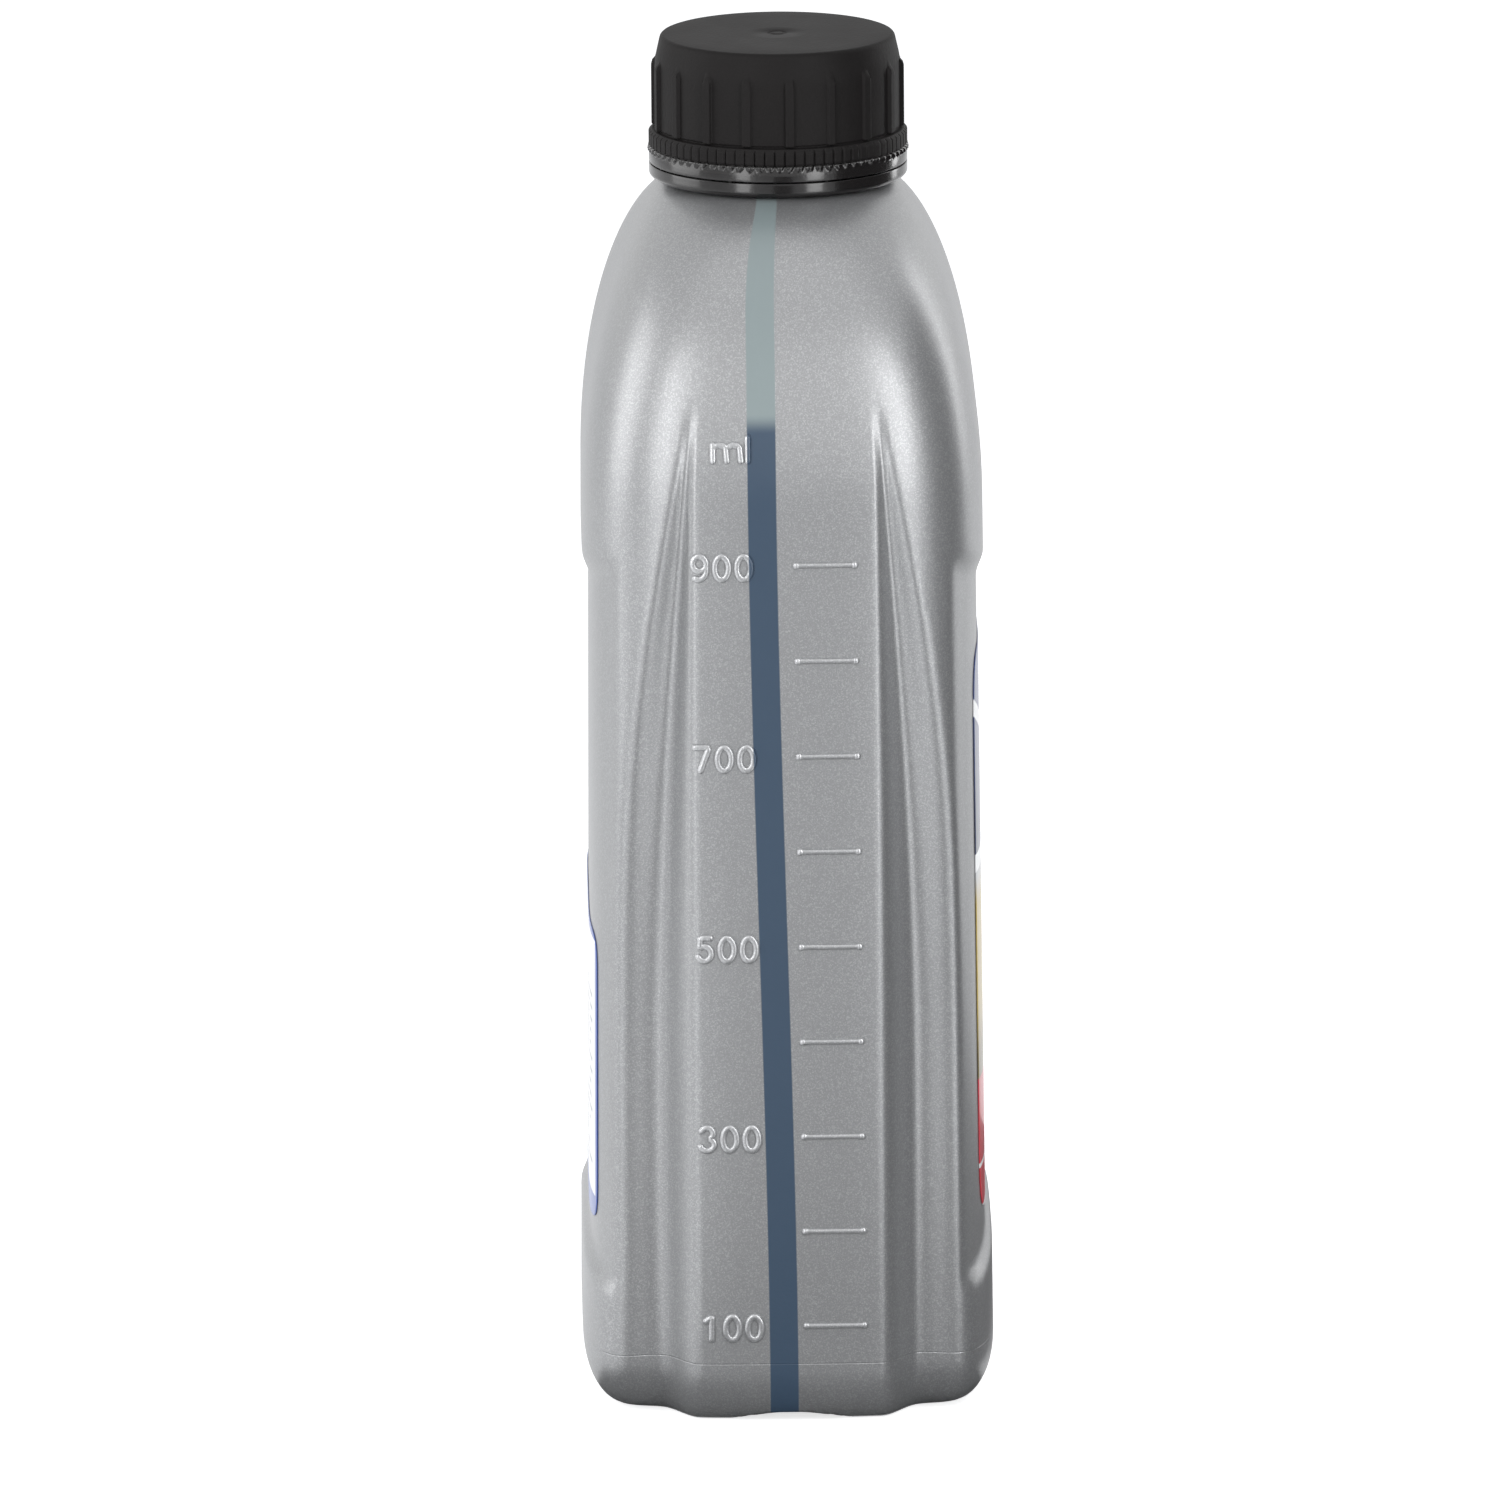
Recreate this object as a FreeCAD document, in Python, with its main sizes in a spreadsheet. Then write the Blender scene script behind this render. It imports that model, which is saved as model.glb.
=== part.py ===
import FreeCAD, Part
import Sketcher
import math
import os

# One-litre motor oil bottle: a blown oval bottle with a screw cap, a tamper ring and two labels.
# Millimetres. Origin in the middle of the base, +Z up, front label towards -Y, scale side towards -X.

SIZES = {
    # Blown body
    "body_width": 108.0,
    "body_depth": 67.4,
    "shoulder_top": 203.5,
    "end_shoulder_start": 158.0,
    "face_shoulder_start": 152.6,
    "root_radius": 17.9,
    "base_round": 9.0,
    "base_trim": 5.5,
    "wall": 1.0,
    "foot_lean": 1.15,
    "channel_rise": 1.5,
    "channel_span": 21.0,
    # Flat end panels and the flutes beside them
    "panel_half": 15.3,
    "flute_reach": 6.15,
    "flute_end": 16.6,
    "flute_depth": 5.9,
    "flute_top": 177.0,
    "flute_taper": 120.0,
    # Label recess in the two broad faces
    "recess_depth": 1.26,
    "recess_low": 28.5,
    "recess_high": 140.0,
    "recess_bow": 6.3,
    "recess_edge": 2.2,
    # Raised scale bars
    "bar_first": 17.1,
    "bar_pitch": 16.32,
    "bar_count": 9,
    "bar_length": 10.6,
    "bar_radius": 0.5,
    "bar_near": 1.9,
    # Neck finish
    "neck_length": 21.7,
    "neck_radius": 17.85,
    "neck_wall": 1.95,
    "neck_depth": 5.0,
    "lip_round": 0.5,
    "bead_rise": 3.5,
    "bead_height": 1.6,
    "bead_proud": 1.85,
    "bead_slope": 0.7,
    # Screw thread
    "thread_pitch": 4.2,
    "thread_turns": 1.5,
    "thread_depth": 1.1,
    "thread_base": 2.1,
    "thread_crest": 1.1,
    "thread_rise": 11.0,
    "thread_root": 0.3,
    "thread_clearance": 0.45,
    # Screw cap
    "cap_lid": 1.6,
    "cap_wall": 1.3,
    "crown_height": 3.7,
    "crown_inset": 1.0,
    "band_height": 5.3,
    "band_wall": 1.75,
    "band_slope": 0.3,
    "bead_clearance": 0.4,
    "relief_height": 3.4,
    "rib_count": 18,
    "rib_proud": 0.6,
    "rib_width": 1.4,
    "rib_phase": 4.7,
    # Liner
    "liner_thickness": 1.0,
    "liner_gap": 0.3,
    "seal_gap": 0.1,
    # Tamper ring
    "ring_gap": 0.3,
    "ring_height": 2.35,
    "ring_chamfer": 0.5,
    "slit": 0.25,
    "hook_gap": 0.4,
    "hook_low": 0.6,
    "hook_height": 1.2,
    "bridge_count": 8,
    "bridge_height": 0.2,
    "bridge_width": 0.9,
    "bridge_inset": 0.3,
    "bridge_depth": 0.9,
    "bridge_phase": 22.0,
    # Contents
    "oil_level": 171.0,
    "oil_gap": 0.25,
    # Labels
    "label_half": 37.5,
    "label_corner": 6.0,
    "label_thickness": 0.15,
    "label_gap": 0.06,
    "label_margin": 2.0,
    "front_low": 32.0,
    "front_high": 129.0,
    "back_low": 31.2,
    "back_high": 81.0,
}

DERIVED = {
    # Heights on the neck
    "neck_foot": "=shoulder_top - neck_depth",
    "lip": "=shoulder_top + neck_length",
    "lip_under": "=lip - lip_round",
    "bead_low": "=shoulder_top + bead_rise",
    "bead_under": "=bead_low + bead_slope * 0.4",
    "bead_over": "=bead_low + bead_height - bead_slope",
    "bead_high": "=bead_low + bead_height",
    # Radii on the neck
    "bore": "=neck_radius - neck_wall",
    "lip_inside": "=bore + lip_round",
    "lip_outside": "=neck_radius - lip_round",
    "bead_radius": "=neck_radius + bead_proud",
    # Cap
    "cap_bore": "=neck_radius + thread_depth + thread_clearance",
    "cap_radius": "=cap_bore + cap_wall",
    "crown_radius": "=cap_radius - crown_inset",
    "rib_radius": "=cap_radius + rib_proud",
    "rib_inside": "=cap_radius - cap_wall / 2",
    "relief_radius": "=bead_radius + bead_clearance",
    "band_radius": "=relief_radius + band_wall",
    "cap_low": "=shoulder_top + ring_gap + ring_height + slit",
    "relief_high": "=cap_low + relief_height",
    "relief_end": "=relief_high + relief_radius - cap_bore",
    "band_high": "=cap_low + band_height",
    "band_top": "=band_high + band_slope",
    "liner_low": "=lip + seal_gap",
    "lid_under": "=liner_low + liner_thickness",
    "cap_top": "=lid_under + cap_lid",
    "crown_low": "=cap_top - crown_height",
    "rib_low": "=band_high - band_slope",
    # Tamper ring
    "ring_low": "=shoulder_top + ring_gap",
    "ring_shoulder": "=ring_low + ring_chamfer",
    "ring_high": "=ring_low + ring_height",
    "ring_inset_radius": "=band_radius - ring_chamfer",
    "hook_radius": "=neck_radius + hook_gap",
    "hook_start": "=ring_low + hook_low",
    "hook_end": "=hook_start + hook_height",
    "bridge_outside": "=band_radius - bridge_inset",
    "bridge_inside": "=band_radius - bridge_inset - bridge_depth",
    "bridge_high": "=ring_high + bridge_height",
    # Threads: root, crest and the heights of the first profile
    "male_root": "=neck_radius - thread_root",
    "male_crest": "=neck_radius + thread_depth",
    "female_root": "=cap_bore + thread_root",
    "female_crest": "=cap_bore - thread_depth",
    "male_middle": "=shoulder_top + thread_rise",
    "female_middle": "=male_middle - thread_pitch / 2",
    "male_base_low": "=male_middle - thread_base / 2",
    "male_base_high": "=male_middle + thread_base / 2",
    "male_crest_low": "=male_middle - thread_crest / 2",
    "male_crest_high": "=male_middle + thread_crest / 2",
    "female_base_low": "=female_middle - thread_base / 2",
    "female_base_high": "=female_middle + thread_base / 2",
    "female_crest_low": "=female_middle - thread_crest / 2",
    "female_crest_high": "=female_middle + thread_crest / 2",
}

# Sharpness of the plan oval: exponents of a superellipse on the two half axes.
END_SQUARENESS = 5.3
FACE_SQUARENESS = 4.25
ROUND = 2.0
# Roundness of the shoulder along the width and along the depth: 0.5 is an ellipse.
END_POWER = 0.5
FACE_POWER = 0.69
# The flutes and the recess start and end at these shares of the half width and half depth.
FLUTE_FADE = (0.45, 0.80)
RECESS_FADE = (0.80, 0.93)
# Samples of the skin: round the oval, up the base rounding and up the shoulder.
AROUND = 120
ROUNDING_ANGLES = range(0, 91, 18)
SHOULDER_ANGLES = range(6, 91, 7)

doc = FreeCAD.newDocument("oil_bottle")


# Sheet of sizes

sheet = doc.addObject("Spreadsheet::Sheet", "Sizes")
for row, (name, number) in enumerate({**SIZES, **DERIVED}.items(), start=1):
    sheet.set(f"A{row}", name)
    sheet.set(f"B{row}", str(number))
    sheet.setAlias(f"B{row}", name)
doc.recompute()


def size(name):
    """A value of the sheet as a plain number."""
    return float(sheet.get(name))


def bind(thing, **expressions):
    """Tie properties of an object to the sheet; a double underscore in a name stands for a dot."""
    for key, expression in expressions.items():
        thing.setExpression(key.replace("__", "."), expression)


# Formula of the blown skin

def smooth(value, low, high):
    """Smooth step from 0 at low to 1 at high."""
    share = min(max((value - low) / (high - low), 0.0), 1.0)
    return share * share * (3.0 - 2.0 * share)


class Skin:
    """The body's surface moved inwards by an inset, or outwards by a negative one."""

    def __init__(self, inset):
        self.inset = inset
        self.half_width = size("body_width") / 2 - inset
        self.half_depth = size("body_depth") / 2 - inset
        self.root = size("root_radius") - inset
        self.top = size("shoulder_top") - inset
        self.rounding = size("base_round") - inset
        self.full_trim = size("base_trim") - inset * size("base_trim") / size("base_round")

    def climb(self, height, start):
        """Share of the way up a shoulder that begins at start."""
        return min(max((height - start) / (self.top - start), 0.0), 1.0)

    def reach(self, height, start, full, power):
        """Half size of the oval at a height: full below start, the neck's root at the top."""
        share = self.climb(height, start)
        return self.root + (full - self.root) * max(1.0 - share * share, 0.0) ** power

    def half_sizes(self, height, trim):
        """Half width and half depth of the oval. The faces spread a little towards the foot."""
        start = size("face_shoulder_start")
        lean = size("foot_lean") * max(1.0 - height / start, 0.0)
        wide = self.reach(height, size("end_shoulder_start"), self.half_width, END_POWER)
        deep = self.reach(height, start, self.half_depth, FACE_POWER)
        return wide - trim, deep + lean - trim

    def exponents(self, height):
        """Exponents of the oval: square below the shoulder, a circle at the neck."""
        square = 1.0 - self.climb(height, size("face_shoulder_start")) ** 4
        end = ROUND + (END_SQUARENESS - ROUND) * square
        face = ROUND + (FACE_SQUARENESS - ROUND) * square
        return end, face

    def flute(self, x_share, y, height):
        """Depth of the flute beside the end panel, which narrows to a tip at flute_top.

        It falls to its floor within flute_reach and rises again up to flute_end.
        """
        rise = min(max((size("flute_top") - height) / size("flute_taper"), 0.0), 1.0)
        spread = math.sin(math.pi / 2 * rise)
        beyond = abs(y) - size("panel_half")
        if spread <= 0.0 or beyond <= 0.0:
            return 0.0
        floor = size("flute_reach") * spread
        form = smooth(beyond, 0.0, floor) - smooth(beyond, floor, size("flute_end") * spread)
        return size("flute_depth") * spread * form * smooth(x_share, *FLUTE_FADE)

    def recess(self, x, y_share, height):
        """Depth of the label recess, whose upper and lower borders are bowed."""
        edge = size("recess_edge")
        bow = size("recess_bow") * (x / (0.42 * size("body_width"))) ** 2
        low = size("recess_low") - bow
        high = size("recess_high") + bow
        band = smooth(height, low - edge, low + edge) * (1.0 - smooth(height, high - edge, high + edge))
        return size("recess_depth") * band * smooth(y_share, *RECESS_FADE)

    def point(self, turn, height, trim=0.0):
        """Point of the skin at an angle round the oval and a height."""
        wide, deep = self.half_sizes(height, trim)
        end, face = self.exponents(height)
        along = abs(math.cos(turn))
        across = abs(math.sin(turn))
        low, high = 1.0, 1.5
        for _ in range(40):
            middle = (low + high) / 2
            if (middle * along) ** end + (middle * across) ** face < 1.0:
                low = middle
            else:
                high = middle
        x = wide * middle * math.cos(turn)
        y = deep * middle * math.sin(turn)
        x -= math.copysign(self.flute(abs(x) / wide, y, height), x)
        y -= math.copysign(self.recess(x, abs(y) / deep, height), y)
        return FreeCAD.Vector(x, y, height)

    def end_reach(self, y, height):
        """Distance from the axis to the flat end panel at a place on it."""
        wide, deep = self.half_sizes(height, 0.0)
        end, face = self.exponents(height)
        return wide * (1.0 - (abs(y) / deep) ** face) ** (1.0 / end)

    def levels(self):
        """Heights of the sampled sections, each with what the base rounding trims off there."""
        levels = []
        for degrees in ROUNDING_ANGLES:
            angle = math.radians(degrees)
            height = self.inset + self.rounding * (1.0 - math.cos(angle))
            levels.append((height, self.full_trim * (1.0 - math.sin(angle))))
        start = size("face_shoulder_start")
        low = size("recess_low") - size("recess_bow")
        high = size("recess_high")
        edge = size("recess_edge")
        middle_low = size("recess_low") + 2.5 * edge
        middle_high = high - 2 * edge
        floor = size("base_round")
        for share in (0.35, 0.7):
            levels.append((floor + share * (low - edge - floor), 0.0))
        count = 9
        levels += [(low - edge + step * (middle_low - low + edge) / count, 0.0) for step in range(count)]
        levels += [(middle_low + step * (middle_high - middle_low) / 8, 0.0) for step in range(8)]
        levels += [(middle_high + step * (start - middle_high) / 10, 0.0) for step in range(10)]
        for degrees in SHOULDER_ANGLES:
            levels.append((start + (self.top - start) * math.sin(math.radians(degrees)), 0.0))
        return levels

    def solid(self):
        """Closed solid inside the skin: a surface through the sections and two flat ends."""
        rows = []
        for height, trim in self.levels():
            rows.append([self.point(2 * math.pi * step / AROUND, height, trim) for step in range(AROUND)])
        turns = [float(step) for step in range(AROUND + 1)]
        climbs = [0.0]
        quarter = AROUND // 4
        for lower, upper in zip(rows, rows[1:]):
            climbs.append(climbs[-1] + max((upper[0] - lower[0]).Length,
                                           (upper[quarter] - lower[quarter]).Length))
        rings = []
        for row in rows:
            ring = Part.BSplineCurve()
            ring.interpolate(Points=row, PeriodicFlag=True, Parameters=turns)
            rings.append(ring)
        posts = []
        for pole in range(1, rings[0].NbPoles + 1):
            post = Part.BSplineCurve()
            post.interpolate(Points=[ring.getPole(pole) for ring in rings], Parameters=climbs)
            posts.append(post)
        surface = Part.BSplineSurface()
        surface.buildFromPolesMultsKnots([post.getPoles() for post in posts],
                                         rings[0].getMultiplicities(), posts[0].getMultiplicities(),
                                         rings[0].getKnots(), posts[0].getKnots(), True, False, 3, 3)
        side = surface.toShape()
        rims = [edge for edge in side.Edges if edge.isClosed() and edge.BoundBox.ZLength < 0.01]
        shell = Part.makeShell([side] + [Part.Face(Part.Wire([rim])) for rim in rims])
        shell.sewShape()
        solid = Part.makeSolid(shell)
        if solid.Volume < 0:
            solid.reverse()
        return solid


# Helpers for bodies with sketches

def origin_part(body, role):
    """A plane or axis of a body's own origin."""
    return next(part for part in body.Origin.OriginFeatures if part.Role == role)


def outline(body, name, corners):
    """Closed outline in the XZ plane through corners given as pairs of names in the sheet."""
    sketch = body.newObject("Sketcher::SketchObject", name)
    sketch.AttachmentSupport = [(origin_part(body, "XZ_Plane"), "")]
    sketch.MapMode = "FlatFace"
    spots = [FreeCAD.Vector(size(across) if across else 0.0, size(up), 0) for across, up in corners]
    count = len(spots)
    for index, spot in enumerate(spots):
        sketch.addGeometry(Part.LineSegment(spot, spots[(index + 1) % count]))
    for index in range(count):
        sketch.addConstraint(Sketcher.Constraint("Coincident", index, 2, (index + 1) % count, 1))
    for index, (across, up) in enumerate(corners):
        if across:
            added = sketch.addConstraint(Sketcher.Constraint("DistanceX", -1, 1, index, 1, spots[index].x))
            sketch.setExpression(f"Constraints[{added}]", f"Sizes.{across}")
        else:
            sketch.addConstraint(Sketcher.Constraint("PointOnObject", index, 1, -2))
        added = sketch.addConstraint(Sketcher.Constraint("DistanceY", -1, 1, index, 1, spots[index].y))
        sketch.setExpression(f"Constraints[{added}]", f"Sizes.{up}")
    return sketch


def turned(body, name, corners):
    """Solid of revolution about the Z axis."""
    sketch = outline(body, name + "_outline", corners)
    feature = body.newObject("PartDesign::Revolution", name)
    feature.Profile = sketch
    feature.ReferenceAxis = (sketch, ["V_Axis"])
    feature.Angle = 360
    body.Tip = feature
    return feature


def thread(body, name, corners):
    """Helical ridge wound up from a first outline."""
    sketch = outline(body, name + "_outline", corners)
    feature = body.newObject("PartDesign::AdditiveHelix", name)
    feature.Profile = sketch
    feature.ReferenceAxis = (sketch, ["V_Axis"])
    feature.Mode = "pitch-turns-angle"
    bind(feature, Pitch="Sizes.thread_pitch", Turns="Sizes.thread_turns")
    body.Tip = feature
    return feature


def ribs(body, name, corners, width, count):
    """Upright slabs of one outline, spread evenly round the Z axis."""
    sketch = outline(body, name + "_outline", corners)
    slab = body.newObject("PartDesign::Pad", name + "_slab")
    slab.Profile = sketch
    slab.SideType = "Symmetric"
    bind(slab, Length=f"Sizes.{width}")
    body.Tip = slab
    doc.recompute()
    pattern = body.newObject("PartDesign::PolarPattern", name)
    pattern.Originals = [slab]
    pattern.Axis = (origin_part(body, "Z_Axis"), [""])
    pattern.Angle = 360
    bind(pattern, Occurrences=f"Sizes.{count}")
    body.Tip = pattern
    return pattern


def body_named(name):
    """Empty body whose label is the name of its piece."""
    body = doc.addObject("PartDesign::Body", name)
    body.Label = name
    return body


def free_shape(name, shape):
    """Object that holds a shape worked out by the skin's formula."""
    thing = doc.addObject("Part::Feature", name)
    thing.Label = name
    thing.Shape = shape
    thing.Placement = FreeCAD.Placement()
    return thing


def cut(name, base, tool):
    """Parametric difference of two objects."""
    thing = doc.addObject("Part::Cut", name)
    thing.Base = base
    thing.Tool = tool
    return thing


def fuse(name, things):
    """Parametric union of objects."""
    thing = doc.addObject("Part::MultiFuse", name)
    thing.Shapes = things
    thing.Refine = False
    return thing


# Bottle

def channel(name, lift):
    """Shallow arch along the width that lifts the middle of the base by the rise and a lift."""
    thing = doc.addObject("Part::Cylinder", name)
    radius = "((Sizes.channel_span / 2) ^ 2 + Sizes.channel_rise ^ 2) / (2 * Sizes.channel_rise)"
    bind(thing, Radius=radius, Height="Sizes.body_width * 1.2",
         Placement__Base__x="-Sizes.body_width * 0.6",
         Placement__Base__z=f"Sizes.channel_rise + {lift} - {radius}",
         Placement__Rotation__Axis__x="0", Placement__Rotation__Axis__y="1",
         Placement__Rotation__Axis__z="0", Placement__Rotation__Angle="90 deg")
    return thing


def hollow(name, inset, lift):
    """Inside of the body at an inset, with the base's arch taken off its floor."""
    return cut(name, free_shape(name + "_skin", Skin(inset).solid()), channel(name + "_arch", lift))


def neck():
    """Neck with its lip, tamper bead and screw thread."""
    body = body_named("neck_finish")
    turned(body, "neck_turned", [
        ("bore", "neck_foot"), ("neck_radius", "neck_foot"), ("neck_radius", "bead_low"),
        ("bead_radius", "bead_under"), ("bead_radius", "bead_over"), ("neck_radius", "bead_high"),
        ("neck_radius", "lip_under"), ("lip_outside", "lip"), ("lip_inside", "lip"),
        ("bore", "lip_under")])
    thread(body, "neck_thread", [
        ("male_root", "male_base_low"), ("male_crest", "male_crest_low"),
        ("male_crest", "male_crest_high"), ("male_root", "male_base_high")])
    return body


def scale_bars():
    """Raised bars of the volume scale, one every hundred millilitres, half sunk in the panel."""
    skin = Skin(0.0)
    bars = []
    for step in range(int(size("bar_count"))):
        height = size("bar_first") + step * size("bar_pitch")
        near, far = (-size("bar_near"), -size("bar_near") - size("bar_length"))
        start = FreeCAD.Vector(-skin.end_reach(near, height), near, height)
        finish = FreeCAD.Vector(-skin.end_reach(far, height), far, height)
        bar = doc.addObject("Part::Cylinder", f"bar_{step + 1}")
        bind(bar, Radius="Sizes.bar_radius", Height="Sizes.bar_length")
        turn = FreeCAD.Rotation(FreeCAD.Vector(0, 0, 1), finish - start)
        bar.Placement = FreeCAD.Placement(start, turn)
        bars.append(bar)
    return bars


def bottle():
    """Blown shell with its neck and scale bars, open at the mouth."""
    blown = cut("blown_outside", free_shape("outside_skin", Skin(0.0).solid()), channel("outside_arch", "0"))
    inside = hollow("blown_inside", size("wall"), "Sizes.wall")
    mouth = doc.addObject("Part::Cylinder", "mouth_bore")
    bind(mouth, Radius="Sizes.bore", Height="Sizes.neck_length + 2 * Sizes.neck_depth",
         Placement__Base__z="Sizes.neck_foot")
    whole = fuse("bottle_solid", [blown, neck()] + scale_bars())
    thing = cut("bottle", cut("bottle_hollowed", whole, inside), mouth)
    thing.Label = "bottle"
    return thing


# Oil

def oil():
    """Contents up to the level, clear of the wall all round."""
    full = hollow("oil_space", size("wall") + size("oil_gap"), "Sizes.wall + Sizes.oil_gap")
    block = doc.addObject("Part::Box", "oil_block")
    bind(block, Length="Sizes.body_width", Width="Sizes.body_depth * 1.2", Height="Sizes.oil_level",
         Placement__Base__x="-Sizes.body_width / 2", Placement__Base__y="-Sizes.body_depth * 0.6")
    thing = doc.addObject("Part::Common", "oil_fill")
    thing.Base = full
    thing.Tool = block
    thing.Label = "oil_fill"
    return thing


# Cap, liner and tamper ring

def screw_cap():
    """Cap with a conical crown, slim ribs, a wide band at the foot and an inner thread."""
    body = body_named("screw_cap")
    turned(body, "cap_turned", [
        (None, "lid_under"), ("cap_bore", "lid_under"), ("cap_bore", "relief_end"),
        ("relief_radius", "relief_high"), ("relief_radius", "cap_low"), ("band_radius", "cap_low"),
        ("band_radius", "band_high"), ("cap_radius", "band_top"), ("cap_radius", "crown_low"),
        ("crown_radius", "cap_top"), (None, "cap_top")])
    ribs(body, "cap_ribs", [
        ("rib_inside", "rib_low"), ("rib_radius", "rib_low"), ("rib_radius", "crown_low"),
        ("crown_radius", "cap_top"), ("rib_inside", "crown_low")], "rib_width", "rib_count")
    thread(body, "cap_thread", [
        ("female_root", "female_base_low"), ("female_root", "female_base_high"),
        ("female_crest", "female_crest_high"), ("female_crest", "female_crest_low")])
    return body


def cap_liner():
    """Sealing disc under the lid."""
    thing = doc.addObject("Part::Cylinder", "cap_liner")
    bind(thing, Radius="Sizes.cap_bore - Sizes.liner_gap", Height="Sizes.liner_thickness",
         Placement__Base__z="Sizes.liner_low")
    thing.Label = "cap_liner"
    return thing


def tamper_ring():
    """Ring with an inner hook under the bead and the stubs of its bridges to the cap."""
    body = body_named("tamper_ring")
    turned(body, "ring_turned", [
        ("relief_radius", "ring_low"), ("ring_inset_radius", "ring_low"),
        ("band_radius", "ring_shoulder"), ("band_radius", "ring_high"), ("relief_radius", "ring_high"),
        ("relief_radius", "hook_end"), ("hook_radius", "hook_end"), ("hook_radius", "hook_start")])
    ribs(body, "ring_bridges", [
        ("bridge_inside", "hook_end"), ("bridge_outside", "hook_end"),
        ("bridge_outside", "bridge_high"), ("bridge_inside", "bridge_high")],
        "bridge_width", "bridge_count")
    bind(body, Placement__Rotation__Axis__x="0", Placement__Rotation__Axis__y="0",
         Placement__Rotation__Axis__z="1", Placement__Rotation__Angle="Sizes.bridge_phase * 1 deg")
    return body


# Labels

def label_outline(low, high):
    """Upright rounded rectangle in the plane of the axis, as a face."""
    half = size("label_half")
    corner = size("label_corner")
    centres = [(half - corner, high - corner, 0), (corner - half, high - corner, 90),
               (corner - half, low + corner, 180), (half - corner, low + corner, 270)]
    spots = []
    for x, z, start in centres:
        arc = []
        for degrees in (start, start + 45, start + 90):
            angle = math.radians(degrees)
            arc.append(FreeCAD.Vector(x + corner * math.cos(angle), 0, z + corner * math.sin(angle)))
        spots.append(arc)
    edges = []
    for index, arc in enumerate(spots):
        edges.append(Part.Arc(*arc).toShape())
        edges.append(Part.makeLine(arc[2], spots[(index + 1) % 4][0]))
    return Part.Face(Part.Wire(edges))


def label(name, side, low, high):
    """Thin sheet that lies just clear of the recess on the face towards side times Y."""
    skin = Skin(-size("label_gap"))
    columns = range(AROUND // 8, AROUND * 3 // 8 + 1)
    start = low - size("label_margin")
    finish = high + size("label_margin")
    heights = [start + step * (finish - start) / 24 for step in range(25)]
    rows = []
    for column in columns:
        turn = side * 2 * math.pi * column / AROUND
        rows.append([skin.point(turn, height) for height in heights])
    surface = Part.BSplineSurface()
    surface.interpolate(rows)
    deep = FreeCAD.Vector(0, side * size("body_depth"), 0)
    trimmed = surface.toShape().common(label_outline(low, high).extrude(deep))
    sheet_solid = trimmed.Faces[0].extrude(FreeCAD.Vector(0, side * size("label_thickness"), 0))
    return free_shape(name, sheet_solid)


# Build and write

pieces = [
    bottle(),
    oil(),
    screw_cap(),
    cap_liner(),
    tamper_ring(),
    label("front_label", -1, size("front_low"), size("front_high")),
    label("back_label", 1, size("back_low"), size("back_high")),
]
bind(pieces[2], Placement__Rotation__Axis__x="0", Placement__Rotation__Axis__y="0",
     Placement__Rotation__Axis__z="1", Placement__Rotation__Angle="Sizes.rib_phase * 1 deg")
doc.recompute()

for thing in doc.Objects:
    if "Invalid" in thing.State or "Error" in thing.State:
        raise RuntimeError(f"{thing.Label} failed to build")
for piece in pieces:
    if piece.Shape.isNull() or not piece.Shape.isValid():
        raise RuntimeError(f"{piece.Label} has no valid shape")

os.makedirs("parts", exist_ok=True)
for piece in pieces:
    piece.Shape.exportStep(f"parts/{piece.Label}.step")
    box = piece.Shape.BoundBox
    print(f"{piece.Label}: {piece.Shape.Volume / 1000:.2f} ml, {len(piece.Shape.Solids)} solid, "
          f"x {box.XMin:.1f} {box.XMax:.1f}, y {box.YMin:.1f} {box.YMax:.1f}, z {box.ZMin:.1f} {box.ZMax:.1f}")
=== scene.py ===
import math

import bpy
import numpy as np
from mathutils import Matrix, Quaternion, Vector


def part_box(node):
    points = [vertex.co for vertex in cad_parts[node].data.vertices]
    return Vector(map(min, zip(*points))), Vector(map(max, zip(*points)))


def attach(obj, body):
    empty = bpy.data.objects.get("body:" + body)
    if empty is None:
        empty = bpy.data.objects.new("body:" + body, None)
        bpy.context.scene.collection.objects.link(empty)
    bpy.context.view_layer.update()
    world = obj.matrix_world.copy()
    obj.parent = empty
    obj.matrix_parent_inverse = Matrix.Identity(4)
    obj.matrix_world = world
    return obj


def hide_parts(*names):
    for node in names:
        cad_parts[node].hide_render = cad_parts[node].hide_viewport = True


bl_info = {
    "name": "Motor Oil Bottle",
    "version": (1, 0, 0),
    "blender": (4, 5, 0),
    "location": "3D View > Sidebar > Oil Bottle",
    "description": "Silver oil bottle with a black ribbed cap, level strip, raised scale and labels",
    "category": "Object",
}

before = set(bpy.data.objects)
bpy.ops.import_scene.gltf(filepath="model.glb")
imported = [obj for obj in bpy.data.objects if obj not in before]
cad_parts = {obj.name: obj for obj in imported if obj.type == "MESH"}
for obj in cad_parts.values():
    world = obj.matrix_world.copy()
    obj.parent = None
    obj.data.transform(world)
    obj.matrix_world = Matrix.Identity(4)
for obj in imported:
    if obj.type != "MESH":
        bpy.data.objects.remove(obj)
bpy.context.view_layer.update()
MM = 0.001
CAP_LOW, CAP_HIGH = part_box("screw_cap")
RING_LOW, RING_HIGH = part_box("tamper_ring")


def length(description, millimetres):
    """Property for a length, given in millimetres and kept in metres."""
    return bpy.props.FloatProperty(description=description, default=millimetres * MM, precision=5,
                                   subtype="DISTANCE", unit="LENGTH")


def number(description, value):
    """Property for a plain number."""
    return bpy.props.FloatProperty(description=description, default=value, precision=4)


def count(description, value):
    """Property for a whole number."""
    return bpy.props.IntProperty(description=description, default=value, min=1)


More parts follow.
